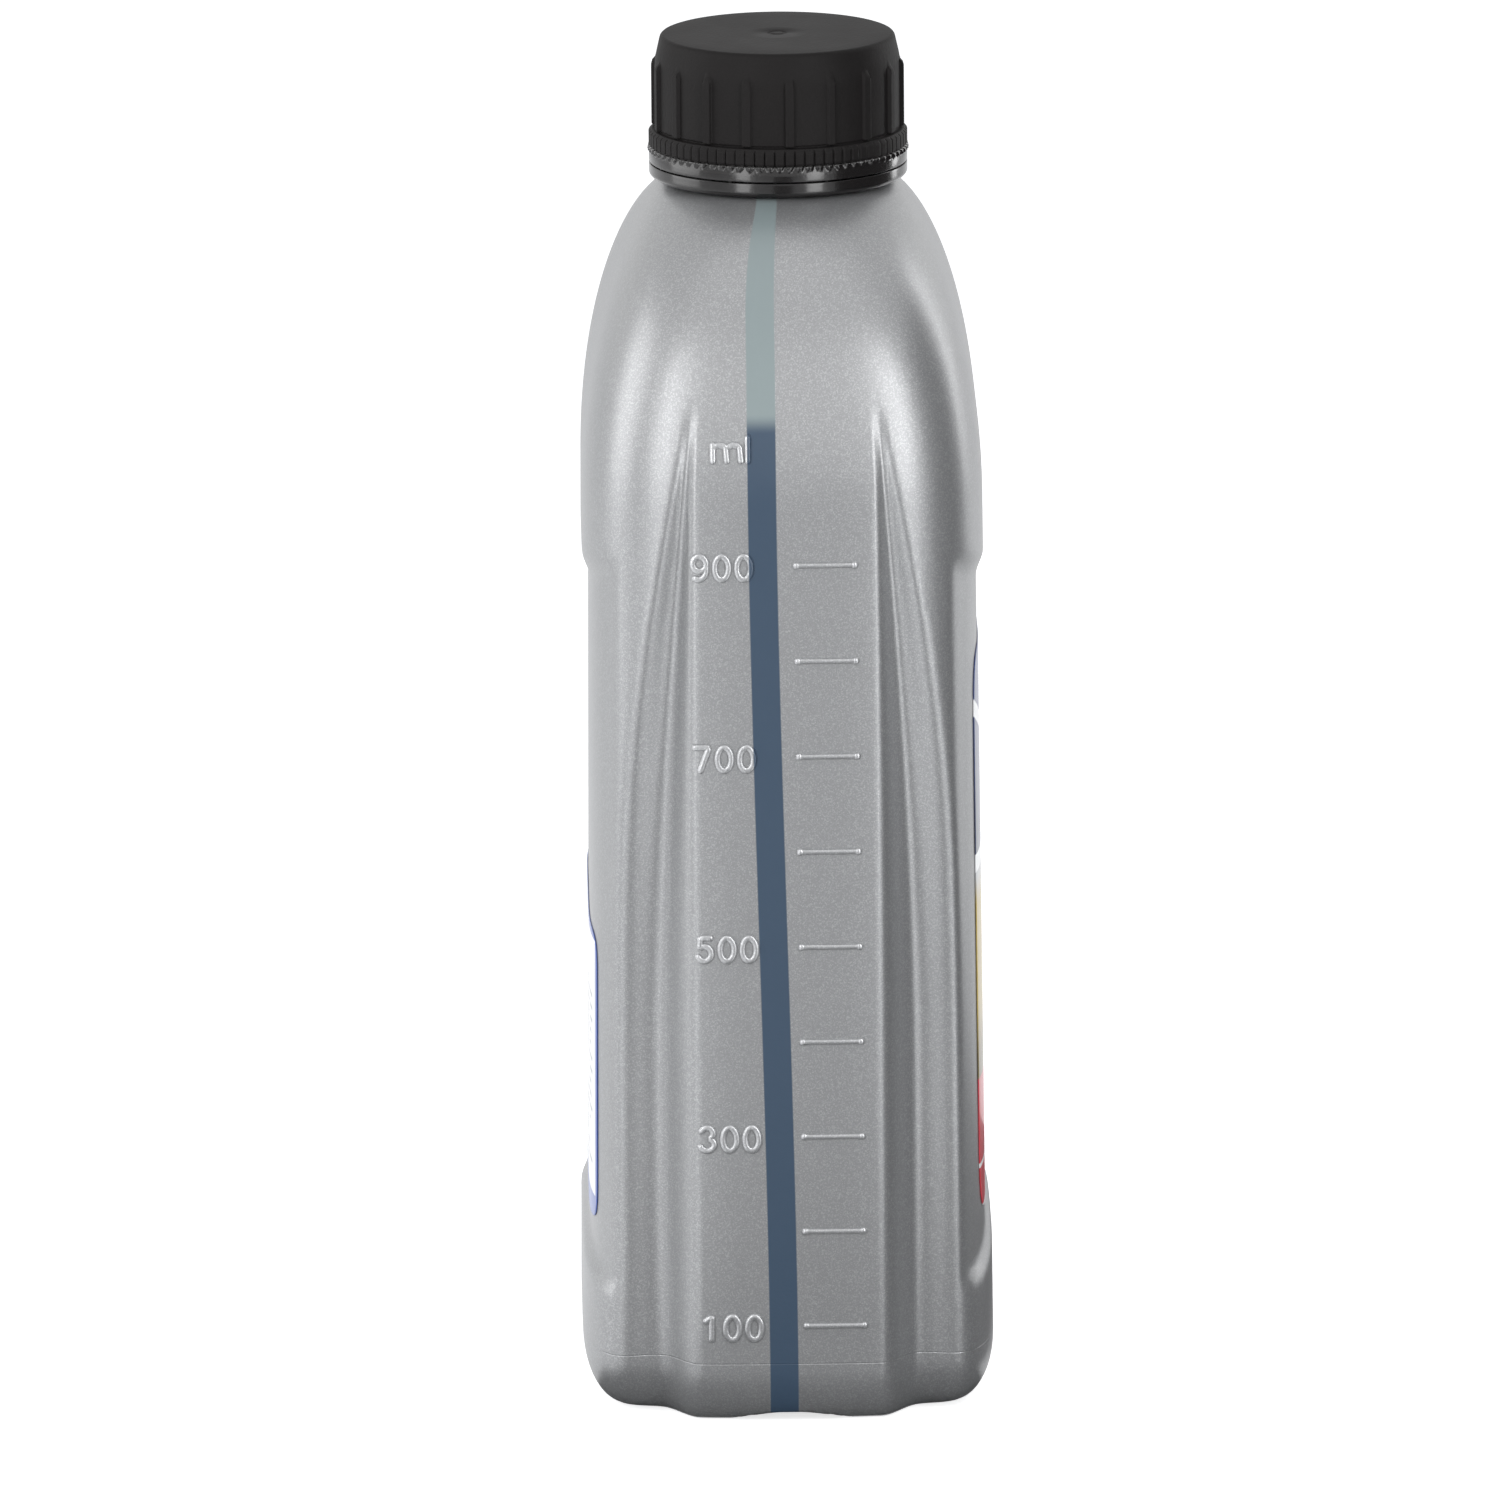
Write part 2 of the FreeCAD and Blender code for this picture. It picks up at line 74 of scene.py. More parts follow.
def turn(description, degrees):
    """Property for an angle, given in degrees and kept in radians."""
    return bpy.props.FloatProperty(description=description, default=math.radians(degrees),
                                   precision=4, subtype="ANGLE", unit="ROTATION")


def colour(description, red, green, blue):
    """Property for a colour, given as the linear red, green and blue of the finish."""
    return bpy.props.FloatVectorProperty(description=description, size=3, min=0.0, max=1.0,
                                         default=(red, green, blue), subtype="COLOR")


# Sizes of the pieces

class OilBottleBody(bpy.types.PropertyGroup):
    """Blown body: oval, shoulder, flutes and label recess."""
    width: length("Width over the two narrow ends", 108.0)
    depth: length("Depth over the faces above the label recess", 67.4)
    top: length("Height where the shoulder meets the neck", 203.5)
    end_start: length("Height where the ends start to lean in", 158.0)
    face_start: length("Height where the faces start to lean in", 152.6)
    root: length("Radius of the shoulder's upper rim", 17.9)
    end_power: number("Roundness of the shoulder at the ends, 0.5 is an ellipse", 0.5)
    face_power: number("Roundness of the shoulder at the faces", 0.69)
    rounding: length("Height of the rounding between base and wall", 9.0)
    trimming: length("Width of the rounding between base and wall", 5.5)
    wall: length("Thickness of the wall", 1.0)
    end_square: number("Exponent of the oval along the width", 5.3)
    face_square: number("Exponent of the oval along the depth", 4.25)
    lean: length("How much the faces spread towards the foot", 1.15)
    arch_rise: length("Rise of the arch under the base", 1.5)
    arch_span: length("Span of the arch under the base", 21.0)
    panel: length("Half width of the flat end panel", 15.3)
    flute_reach: length("Distance from the panel's edge to the flute's floor", 6.15)
    flute_end: length("Distance from the panel's edge to the flute's outer edge", 16.6)
    flute_depth: length("Depth of the flutes at their full width", 5.9)
    flute_top: length("Height of the flutes' tips", 177.0)
    flute_taper: length("Length over which the flutes widen", 120.0)
    recess: length("Depth of the label recess", 1.26)
    recess_low: length("Height of the recess's lower border in the middle", 28.5)
    recess_high: length("Height of the recess's upper border in the middle", 140.0)
    recess_bow: length("How much the recess borders bow towards the ends", 6.3)
    recess_edge: length("Half height of the recess's soft step", 2.2)
    columns: count("Points round the body", 360)


class OilBottleNeck(bpy.types.PropertyGroup):
    """Neck with its bead and thread."""
    length: length("Height of the lip above the shoulder", 21.7)
    radius: length("Outer radius of the neck", 17.85)
    wall: length("Thickness of the neck", 1.95)
    bead_rise: length("Height of the bead's foot above the shoulder", 3.5)
    bead_height: length("Height of the bead", 1.6)
    bead_proud: length("How far the bead stands out", 1.85)
    thread_rise: length("Height of the thread's start above the shoulder", 11.0)
    thread_pitch: length("Rise of the thread in one turn", 4.2)
    thread_turns: number("Turns of the thread", 1.5)
    thread_depth: length("How far the thread stands out", 1.1)
    thread_base: length("Width of the thread at its foot", 2.1)
    thread_crest: length("Width of the thread at its crest", 1.1)


class OilBottleScale(bpy.types.PropertyGroup):
    """Raised volume scale on the end panel."""
    first: length("Height of the lowest bar", 17.1)
    pitch: length("Distance between bars", 16.32)
    bars: count("Number of bars", 9)
    bar_length: length("Length of a bar", 9.7)
    bar_near: length("Distance from the panel's middle to the lowest bar", 2.72)
    drift: number("Sideways drift of the scale for each length of height", 0.0067)
    bar_half: length("Half width of a bar's ridge", 0.45)
    bar_proud: length("Height of a bar over the panel", 0.42)
    digit_width: length("Width of a digit's centre line", 2.35)
    digit_height: length("Height of a digit's centre line", 3.95)
    digit_step: length("Distance from one digit to the next", 3.72)
    digit_end: length("Distance from the panel's middle to the lowest number", 4.35)
    stroke: length("Half width of a digit's stroke", 0.55)
    stroke_proud: length("Height of a digit over the panel", 0.48)
    word_rise: length("Height of the unit above the highest bar", 19.8)


class OilBottleCap(bpy.types.PropertyGroup):
    """Screw cap: crown, ribs, knurl and band."""
    crown: length("Radius of the flat top", 19.7)
    crown_height: length("Height of the cone under the flat top", 4.4)
    skirt: length("Radius between the ribs", 20.7)
    edge: length("Rounding of the top edge", 0.7)
    ribs: count("Number of ribs", 18)
    rib_tip: length("Height over which a rib rounds off at its tip", 0.9)
    rib_half: length("Half width of a rib", 0.72)
    rib_proud: length("How far a rib stands out", 0.62)
    rib_phase: turn("Angle of the first rib", 4.7)
    ledge: length("Height of the knurled band's upper edge over the cap's foot", 5.55)
    knurl: length("Radius at the foot of the knurl's teeth", 21.38)
    teeth: count("Number of teeth of the knurl", 80)
    tooth_proud: length("How far a tooth stands out", 0.42)
    groove: length("Height of the fine line under the knurl", 2.7)
    band: length("Radius of the glossy band", 21.78)
    relief: length("Inner radius beside the bead", 20.1)
    bore: length("Inner radius of the skirt", 19.4)
    lid: length("Thickness of the top", 1.6)
    bridges: count("Number of broken bridges on the ring", 8)
    bridge_phase: turn("Angle of the first bridge", 22.0)
    bridge: length("Radius of a bridge's stub", 0.45)


class OilBottleLabels(bpy.types.PropertyGroup):
    """Film labels on the two faces."""
    half: length("Half width of both labels", 37.5)
    corner: length("Radius of the corners", 6.0)
    gap: length("Distance of the film from the wall", 0.06)
    film: length("Thickness of the film", 0.15)
    front_low: length("Lower edge of the front label", 32.0)
    front_high: length("Upper edge of the front label", 129.0)
    back_low: length("Lower edge of the back label", 31.2)
    back_high: length("Upper edge of the back label", 81.0)


class OilBottleFinish(bpy.types.PropertyGroup):
    """Colours and level of the finishes."""
    silver: colour("Pigmented wall", 0.298, 0.302, 0.308)
    strip_full: colour("Clear strip with oil behind it", 0.034, 0.060, 0.098)
    strip_empty: colour("Clear strip with air behind it", 0.215, 0.258, 0.262)
    black: colour("Cap and ring", 0.0075, 0.0068, 0.0068)
    blue: colour("Upper field of the front label", 0.012, 0.035, 0.16)
    white: colour("Light fields of the labels", 0.82, 0.83, 0.84)
    gold: colour("Middle field of the front label", 0.42, 0.30, 0.05)
    red: colour("Lower field of the front label", 0.55, 0.025, 0.045)
    amber: colour("Oil", 0.35, 0.16, 0.02)
    level: length("Height of the oil behind the strip", 171.0)
    strip_half: length("Half width of the level strip", 2.38)
    strip_low: length("Offset of the strip from the panel's middle at the base", 1.1)
    strip_high: length("Offset of the strip on the upper panel", 3.87)
    strip_neck: length("Offset of the strip at the neck", 2.25)


class OilBottleView(bpy.types.PropertyGroup):
    """Camera and light."""
    azimuth: turn("Direction of the camera round the bottle", 269.3)
    elevation: turn("Height of the camera over the horizon", 12.5)
    roll: turn("Roll of the camera", -0.43)
    distance: length("Distance of the camera from its target", 4000.0)
    frame_height: length("Height of the picture at the bottle", 254.1)
    target_y: length("Place across the bottle that the picture centres on", 5.48)
    target_z: length("Height that the picture centres on", 104.3)


PARTS = {"body": OilBottleBody, "neck": OilBottleNeck, "scale": OilBottleScale, "cap": OilBottleCap,
         "labels": OilBottleLabels, "finish": OilBottleFinish, "view": OilBottleView}


class OilBottleSettings(bpy.types.PropertyGroup):
    """All settings of the bottle, one group for each part."""
    __annotations__ = {key: bpy.props.PointerProperty(type=kind) for key, kind in PARTS.items()}


# Formula of the blown skin

def smooth(value, low, high):
    """Smooth step: share squared times three less two shares, from 0 at low to 1 at high."""
    share = np.clip((value - low) / (high - low), 0.0, 1.0)
    return share * share * (3.0 - 2.0 * share)


def climb(body, height, start, inset):
    """Share of the way from start up to the shoulder's top."""
    return np.clip((height - start) / (body.top - inset - start), 0.0, 1.0)


def half_sizes(body, height, trim, inset):
    """Half width and half depth of the oval at a height.

    Each is the neck's root plus the rest times one less the square of the climb, to the shoulder's
    power. The depth grows evenly towards the foot by the lean.
    """
    root = body.root - inset
    wide = 1.0 - climb(body, height, body.end_start, inset) ** 2
    deep = 1.0 - climb(body, height, body.face_start, inset) ** 2
    lean = body.lean * np.maximum(1.0 - height / body.face_start, 0.0)
    half_width = root + (body.width / 2 - inset - root) * wide ** body.end_power
    half_depth = root + (body.depth / 2 - inset - root) * deep ** body.face_power
    return half_width - trim, half_depth + lean - trim


def exponents(body, height, inset):
    """Exponents of the oval: square below the shoulder, 2 at the neck."""
    square = 1.0 - climb(body, height, body.face_start, inset) ** 4
    return 2.0 + (body.end_square - 2.0) * square, 2.0 + (body.face_square - 2.0) * square


def flute(body, x_share, y, height):
    """Depth of the flutes: a soft step down from the panel's edge to the floor and a wider one up
    again, both narrowing towards the tip."""
    spread = np.sin(np.pi / 2 * np.clip((body.flute_top - height) / body.flute_taper, 0.0, 1.0))
    run = (np.abs(y) - body.panel) / np.maximum(spread, 1e-6)
    form = smooth(run, 0.0, body.flute_reach) - smooth(run, body.flute_reach, body.flute_end)
    return body.flute_depth * spread * form * smooth(x_share, 0.45, 0.80)


def recess(body, x, y_share, height):
    """Depth of the label recess: a product of soft steps in height and across, with bowed borders."""
    bow = body.recess_bow * (x / (0.42 * body.width)) ** 2
    low = body.recess_low - bow
    high = body.recess_high + bow
    band = smooth(height, low - body.recess_edge, low + body.recess_edge)
    band = band * (1.0 - smooth(height, high - body.recess_edge, high + body.recess_edge))
    return body.recess * band * smooth(y_share, 0.80, 0.93)


def arch(body, y, inset):
    """Height of the arch under the base: a circle's segment of the given rise and span."""
    radius = ((body.arch_span / 2) ** 2 + body.arch_rise ** 2) / (2 * body.arch_rise)
    return inset + body.arch_rise - radius + np.sqrt(np.maximum(radius ** 2 - y ** 2, 0.0))


def skin(body, angle, height, trim, inset):
    """Point of the wall: a superellipse at the height, less the flutes and the recess. How far it
    stands out at an angle is found by halving an interval."""
    wide, deep = half_sizes(body, height, trim, inset)
    end, face = exponents(body, height, inset)
    along = np.abs(np.cos(angle))
    across = np.abs(np.sin(angle))
    low = np.ones(np.broadcast_shapes(angle.shape, height.shape))
    high = 1.5 * low
    for _ in range(40):
        middle = (low + high) / 2
        inside = (middle * along) ** end + (middle * across) ** face < 1.0
        low = np.where(inside, middle, low)
        high = np.where(inside, high, middle)
    x = wide * middle * np.cos(angle)
    y = deep * middle * np.sin(angle)
    x = x - np.sign(x) * flute(body, np.abs(x) / wide, y, height)
    y = y - np.sign(y) * recess(body, x, np.abs(y) / deep, height)
    return np.stack([x, y, height + 0.0 * x], axis=-1)


def end_reach(body, y, height):
    """Distance from the axis to the end panel: the superellipse solved for the width."""
    wide, deep = half_sizes(body, height, 0.0, 0.0)
    end, face = exponents(body, height, 0.0)
    return wide * (1.0 - (np.abs(y) / deep) ** face) ** (1.0 / end)


def face_reach(body, x, height, inset):
    """Distance from the axis to a broad face: the superellipse solved for the depth, less the
    recess, at the place that the flutes bring to x."""
    wide, deep = half_sizes(body, height, 0.0, inset)
    end, face = exponents(body, height, inset)
    start = x
    for _ in range(4):
        y = deep * (1.0 - (np.abs(start) / wide) ** end) ** (1.0 / face)
        start = x + np.sign(x) * flute(body, np.abs(start) / wide, y, height)
    return y - recess(body, x, y / deep, height)


# Meshes

def circle(columns):
    """Angles that divide a whole turn evenly."""
    return np.linspace(0.0, 2 * np.pi, columns, endpoint=False)


def placed(name, data):
    """New object in the scene, at the origin."""
    piece = bpy.data.objects.new(name, data)
    bpy.context.scene.collection.objects.link(piece)
    return piece


def grid_faces(rows, columns, start, wrap_rows):
    """Quads of a grid whose columns close into rings, and whose rows close too if asked."""
    row = np.arange(rows if wrap_rows else rows - 1)[:, None]
    column = np.arange(columns)[None, :]
    below = row * columns
    above = ((row + 1) % rows) * columns
    beside = (column + 1) % columns
    quads = np.stack([below + column, below + beside, above + beside, above + column], axis=-1)
    return quads.reshape(-1, 4) + start


def surface(name, grids, flip=False):
    """One mesh from grids of points with ringed columns. Each grid is closed by a point at both ends
    or, where it is given with the word loop, by joining its last row to its first."""
    vertices = []
    quads = []
    triangles = []
    start = 0
    for points, form in grids:
        rows, columns = points.shape[:2]
        vertices.append(points.reshape(-1, 3))
        quads.append(grid_faces(rows, columns, start, form == "loop"))
        ring = np.arange(columns)
        if form != "loop":
            first = start + rows * columns
            last = first + 1
            vertices.append(points[[0, -1]].mean(axis=1))
            upper = start + (rows - 1) * columns
            triangles.append(np.stack([np.full(columns, first), start + (ring + 1) % columns,
                                       start + ring], axis=-1))
            triangles.append(np.stack([np.full(columns, last), upper + ring,
                                       upper + (ring + 1) % columns], axis=-1))
        start += rows * columns + (0 if form == "loop" else 2)
    vertices = np.concatenate(vertices)
    quads = np.concatenate(quads)
    triangles = np.concatenate(triangles) if triangles else np.zeros((0, 3), int)
    if flip:
        quads = quads[:, ::-1]
        triangles = triangles[:, ::-1]
    corners = np.concatenate([quads.ravel(), triangles.ravel()])
    totals = np.concatenate([np.full(len(quads), 4), np.full(len(triangles), 3)])
    starts = np.concatenate([[0], np.cumsum(totals)[:-1]])
    mesh = bpy.data.meshes.new(name)
    mesh.vertices.add(len(vertices))
    mesh.vertices.foreach_set("co", vertices.astype(np.float32).ravel())
    mesh.loops.add(len(corners))
    mesh.loops.foreach_set("vertex_index", corners.astype(np.int32))
    mesh.polygons.add(len(totals))
    mesh.polygons.foreach_set("loop_start", starts.astype(np.int32))
    mesh.polygons.foreach_set("loop_total", totals.astype(np.int32))
    mesh.polygons.foreach_set("use_smooth", np.ones(len(totals), bool))
    mesh.update(calc_edges=True)
    if mesh.validate():
        raise RuntimeError(f"{name} has faulty faces")
    return placed(name, mesh)


def rounded(corners, step):
    """Dense profile through corners of radius, height and rounding.

    Each rounding is a quarter-like arc drawn as a quadratic curve between the points at its distance
    from the corner, and the straight runs between are divided into steps. A fourth value of a corner
    is the step of the run that leads to it.
    """
    spots = np.array([[corner[0], corner[1]] for corner in corners])
    points = [spots[:1]]
    for index in range(1, len(spots)):
        previous, here = spots[index - 1], spots[index]
        reach = corners[index][2] if len(corners[index]) > 2 else 0.0
        run = np.linalg.norm(here - points[-1][-1])
        enter = here + (previous - here) / max(np.linalg.norm(previous - here), 1e-9) * reach
        pace = corners[index][3] if len(corners[index]) > 3 else step
        parts = max(int(np.ceil((run - reach) / pace)), 1)
        shares = np.linspace(0.0, 1.0, parts + 1)[1:, None]
        points.append(points[-1][-1] * (1.0 - shares) + enter * shares)
        if reach > 0.0:
            following = spots[index + 1]
            leave = here + (following - here) / np.linalg.norm(following - here) * reach
            bend = np.linspace(0.0, 1.0, 6)[1:, None]
            points.append(enter * (1 - bend) ** 2 + here * 2 * bend * (1 - bend) + leave * bend ** 2)
    return np.concatenate(points)


def turned(profile, columns, bumps=None):
    """Profile of radius and height turned about Z, with bumps added to the radius. The columns are
    a number, or the angles themselves."""
    if isinstance(columns, int):
        columns = circle(columns)
    angle = columns[None, :]
    radius = profile[:, :1] + 0.0 * angle
    height = profile[:, 1:] + 0.0 * angle
    if bumps is not None:
        radius = radius + bumps(angle, height)
    return np.stack([radius * np.cos(angle), radius * np.sin(angle), height], axis=-1)


def helix(angle, height, middle, neck):
    """Thread ridge: a flat crest with straight flanks round a line that climbs by the pitch in each
    turn, fading in and out at its ends."""
    ridge = 0.0 * height
    flank = (neck.thread_base - neck.thread_crest) / 2
    for lap in range(math.ceil(neck.thread_turns)):
        turns = angle / (2 * np.pi) + lap
        away = np.abs(height - middle - neck.thread_pitch * turns)
        shape = np.clip(1.0 - (away - neck.thread_crest / 2) / flank, 0.0, 1.0)
        last = neck.thread_turns
        ends = smooth(turns, 0.0, 0.06) * (1.0 - smooth(turns, last - 0.06, last))
        ridge = np.maximum(ridge, neck.thread_depth * shape * ends)
    return ridge


def ridge(points, half, proud, body):
    """Raised stroke on the end panel along a path of distances across and up.

    Each cross-section is a flat-topped superellipse over the panel and a shallow one under it. The
    half width shrinks as a circle does over the two ends.
    """
    points = np.asarray(points, float)
    lengths = np.concatenate([[0.0], np.cumsum(np.linalg.norm(np.diff(points, axis=0), axis=1))])
    cap = half * np.sin(np.linspace(-np.pi / 2, 0.0, 5))
    inner = np.linspace(0.0, lengths[-1], max(int(lengths[-1] / (0.25 * MM)), 2) + 1)
    along = np.concatenate([cap[:-1], inner, lengths[-1] - cap[:-1][::-1]])
    over = np.maximum(np.maximum(-along, along - lengths[-1]), 0.0) / half
    scale = np.sqrt(np.maximum(1.0 - over ** 2, 0.0025))
    held = np.clip(along, 0.0, lengths[-1])
    centre = np.stack([np.interp(held, lengths, points[:, axis]) for axis in (0, 1)], axis=-1)
    ahead = np.stack([np.interp(np.clip(held + 0.1 * MM, 0, lengths[-1]), lengths, points[:, axis])
                      - np.interp(np.clip(held - 0.1 * MM, 0, lengths[-1]), lengths, points[:, axis])
                      for axis in (0, 1)], axis=-1)
    ahead /= np.linalg.norm(ahead, axis=1, keepdims=True)
    centre = centre + ahead * (along - held)[:, None]
    side = np.stack([-ahead[:, 1], ahead[:, 0]], axis=-1)
    angle = circle(16)
    wide = half * np.sign(np.cos(angle)) * np.abs(np.cos(angle)) ** 0.7
    crest = proud * np.abs(np.sin(angle)) ** 0.7
    high = np.where(np.sin(angle) > 0, crest, 0.5 * proud * np.sin(angle))
    flat = centre[:, None, :] + side[:, None, :] * (wide[None, :] * scale[:, None])[..., None]
    lift = high[None, :] * scale[:, None]
    y, z = -flat[..., 0], flat[..., 1]
    x = -(end_reach(body, y, z) + lift)
    return np.stack([x, y, z], axis=-1), "poles"


# Materials

class Web:
    """Shorthand for wiring the nodes of one material or node group."""

    def __init__(self, tree):
        self.tree = tree
        self.nodes = tree.nodes
        self.links = tree.links

    def add(self, kind, **values):
        """New node with properties set by name."""
        node = self.nodes.new(kind)
        for key, value in values.items():
            setattr(node, key, value)
        return node

    def feed(self, socket, value):
        """Link a socket to another one, or give it a value."""
        if isinstance(value, bpy.types.NodeSocket):
            self.links.new(value, socket)
        else:
            socket.default_value = value

    def math(self, operation, first, second=0.0):
        """Math node."""
        node = self.add("ShaderNodeMath", operation=operation)
        for socket, value in zip(node.inputs, (first, second)):
            self.feed(socket, value)
        return node.outputs[0]

    def times(self, first, second):
        """Product of two values."""
        return self.math("MULTIPLY", first, second)

    def step(self, value, low, high):
        """Smooth step from 0 at low to 1 at high."""
        node = self.add("ShaderNodeMapRange", interpolation_type="SMOOTHSTEP")
        self.feed(node.inputs["Value"], value)
        self.feed(node.inputs["From Min"], low)
        self.feed(node.inputs["From Max"], high)
        return node.outputs["Result"]

    def band(self, value, low, high, soft):
        """1 between low and high, with soft edges."""
        rise = self.step(value, low - soft, low + soft)
        fall = self.step(value, high + soft, high - soft)
        return self.times(rise, fall)

    def blend(self, share, first, second):
        """Mix of two colours."""
        node = self.add("ShaderNodeMix", data_type="RGBA", clamp_factor=True)
        self.feed(node.inputs[0], share)
        for socket, value in ((node.inputs[6], first), (node.inputs[7], second)):
            self.feed(socket, value if isinstance(value, bpy.types.NodeSocket) else (*value, 1.0))
        return node.outputs[2]

    def level(self, share, first, second):
        """Mix of two numbers."""
        node = self.add("ShaderNodeMix", data_type="FLOAT", clamp_factor=True)
        self.feed(node.inputs[0], share)
        self.feed(node.inputs[2], first)
        self.feed(node.inputs[3], second)
        return node.outputs[0]

    def axes(self):
        """Object coordinates as a vector and its three parts."""
        place = self.add("ShaderNodeTexCoord").outputs["Object"]
        parts = self.add("ShaderNodeSeparateXYZ")
        self.links.new(place, parts.inputs[0])
        return place, parts.outputs[0], parts.outputs[1], parts.outputs[2]

    def noise(self, place, scale, detail):
        """Noise value."""
        node = self.add("ShaderNodeTexNoise")
        self.feed(node.inputs["Vector"], place)
        self.feed(node.inputs["Scale"], scale)
        self.feed(node.inputs["Detail"], detail)
        return node.outputs["Fac"]

    def bump(self, height, distance, strength=1.0):
        """Normal from a height given as a share of the distance."""
        node = self.add("ShaderNodeBump")
        self.feed(node.inputs["Height"], height)
        node.inputs["Distance"].default_value = distance
        node.inputs["Strength"].default_value = strength
        return node.outputs["Normal"]


def grain_group():
    """Group of moulded plastic: a fine orange peel, sparse bright flakes and broad soft mottling."""
    group = bpy.data.node_groups.get("Moulded grain")
    if group:
        return group
    group = bpy.data.node_groups.new("Moulded grain", "ShaderNodeTree")
    sockets = group.interface
    sockets.new_socket("Place", in_out="INPUT", socket_type="NodeSocketVector")
    for name in ("Peel", "Flake", "Mottle"):
        sockets.new_socket(name + " scale", in_out="INPUT", socket_type="NodeSocketFloat")
    for name in ("Peel", "Flakes", "Mottling"):
        sockets.new_socket(name, in_out="OUTPUT", socket_type="NodeSocketFloat")
    web = Web(group)
    given = web.add("NodeGroupInput").outputs
    results = web.add("NodeGroupOutput").inputs
    web.links.new(web.noise(given["Place"], given["Peel scale"], 2.0), results["Peel"])
    cells = web.add("ShaderNodeTexVoronoi")
    web.links.new(given["Place"], cells.inputs["Vector"])
    web.links.new(given["Flake scale"], cells.inputs["Scale"])
    tone = web.add("ShaderNodeSeparateColor")
    web.links.new(cells.outputs["Color"], tone.inputs[0])
    web.links.new(web.math("POWER", tone.outputs[0], 3.0), results["Flakes"])
    web.links.new(web.noise(given["Place"], given["Mottle scale"], 3.0), results["Mottling"])
    return group


def grain(web, place, peel, flake, mottle):
    """Grain group placed in a material, with its scales in cells per metre."""
    node = web.add("ShaderNodeGroup", node_tree=grain_group())
    web.links.new(place, node.inputs["Place"])
    node.inputs["Peel scale"].default_value = peel
    node.inputs["Flake scale"].default_value = flake
    node.inputs["Mottle scale"].default_value = mottle
    return node.outputs["Peel"], node.outputs["Flakes"], node.outputs["Mottling"]


def new_material(name):
    """Material with a Principled shader, as its web and a function that feeds the shader's inputs."""
    material = bpy.data.materials.new(name)
    material.use_nodes = True
    web = Web(material.node_tree)
    shader = next(node for node in web.nodes if node.type == "BSDF_PRINCIPLED")

    def paint(**values):
        for key, value in values.items():
            web.feed(shader.inputs[key.replace("_", " ")], value)

    return material, web, paint


def silver_material(settings, name, highlight_gain, roughness):
    """Silver-pigmented polyethylene with the clear level strip on the scale side.

    The strip's middle is an offset that grows up the panel and swings back at the neck. Its colour
    is dark under the oil's level and pale over it. A fine parting line runs round the foot.
    """
    finish, top = settings.finish, settings.body.top
    material, web, paint = new_material(name)
    place, x, y, z = web.axes()
    peel, flakes, mottling = grain(web, place, 900.0, 5200.0, 60.0)
    swing = web.step(x, -46.0 * MM, -19.0 * MM)
    offset = web.level(web.step(z, 0.0, 170.0 * MM), finish.strip_low, finish.strip_high)
    offset = web.level(swing, offset, finish.strip_neck)
    half = web.level(swing, finish.strip_half, finish.strip_half * 0.7)
    away = web.math("SUBTRACT", web.math("ABSOLUTE", web.math("SUBTRACT", y, offset)), half)
    strip = web.times(web.step(away, 0.12 * MM, -0.12 * MM), web.step(x, -10.0 * MM, -12.0 * MM))
    strip = web.times(strip, web.step(z, top + 0.5 * MM, top - 0.5 * MM))
    filled = web.step(z, finish.level + 2.2 * MM, finish.level - 1.2 * MM)
    clear = web.blend(filled, finish.strip_empty, finish.strip_full)
    # A gain over 1 lightens the whole pigment: a painted highlight, as on the raised scale marks.
    dark = tuple(0.93 * highlight_gain * part for part in finish.silver)
    light = tuple(min(1.30 * highlight_gain * part, 1.0) for part in finish.silver)
    pigment = web.blend(web.times(mottling, 0.10), web.blend(flakes, dark, light), dark)
    parting = web.band(z, 10.45 * MM, 10.62 * MM, 0.06 * MM)
    height = web.math("SUBTRACT", web.times(peel, 0.45), web.times(parting, 0.5))
    paint(Base_Color=web.blend(strip, pigment, clear), Metallic=web.level(strip, 0.62, 0.0),
          Roughness=web.level(strip, roughness, 0.33), Normal=web.bump(height, 0.06 * MM),
          Coat_Roughness=0.30, Coat_Weight=0.12)
    return material


def black_material(settings, name, roughness, peel_depth, gloss_head):
    """Black polypropylene with fine moulding grain: satin, and glossy below a height."""
    black = settings.finish.black
    material, web, paint = new_material(name)
    place, _, _, z = web.axes()
    peel, _, mottling = grain(web, place, 1500.0, 2600.0, 120.0)
    worn = tuple(min(part * 1.7, 1.0) for part in black)
    glossy = web.step(z, gloss_head + 0.1 * MM, gloss_head - 0.1 * MM)
    base = web.level(glossy, roughness - 0.05, 0.17)
    paint(Base_Color=web.blend(mottling, black, worn), Coat_Roughness=0.12,
          Roughness=web.math("ADD", web.times(mottling, 0.10), base), Normal=web.bump(peel, peel_depth),
          Specular_IOR_Level=web.level(glossy, 0.10, 0.25), Coat_Weight=web.times(glossy, 0.5))
    return material


def film_material(settings, name, pattern):
    """Printed film: a pattern of fields over a faint grain, with a thin glossy coat."""
    material, web, paint = new_material(name)
    place, x, _, z = web.axes()
    peel, _, mottling = grain(web, place, 700.0, 2000.0, 40.0)
    faint = web.times(mottling, 0.08)
    paint(Base_Color=web.blend(faint, pattern(web, settings.finish, x, z), (0.5, 0.5, 0.5)),
          Roughness=web.math("ADD", faint, 0.30), Normal=web.bump(peel, 0.03 * MM),
          Coat_Weight=0.4, Coat_Roughness=0.10)
    return material


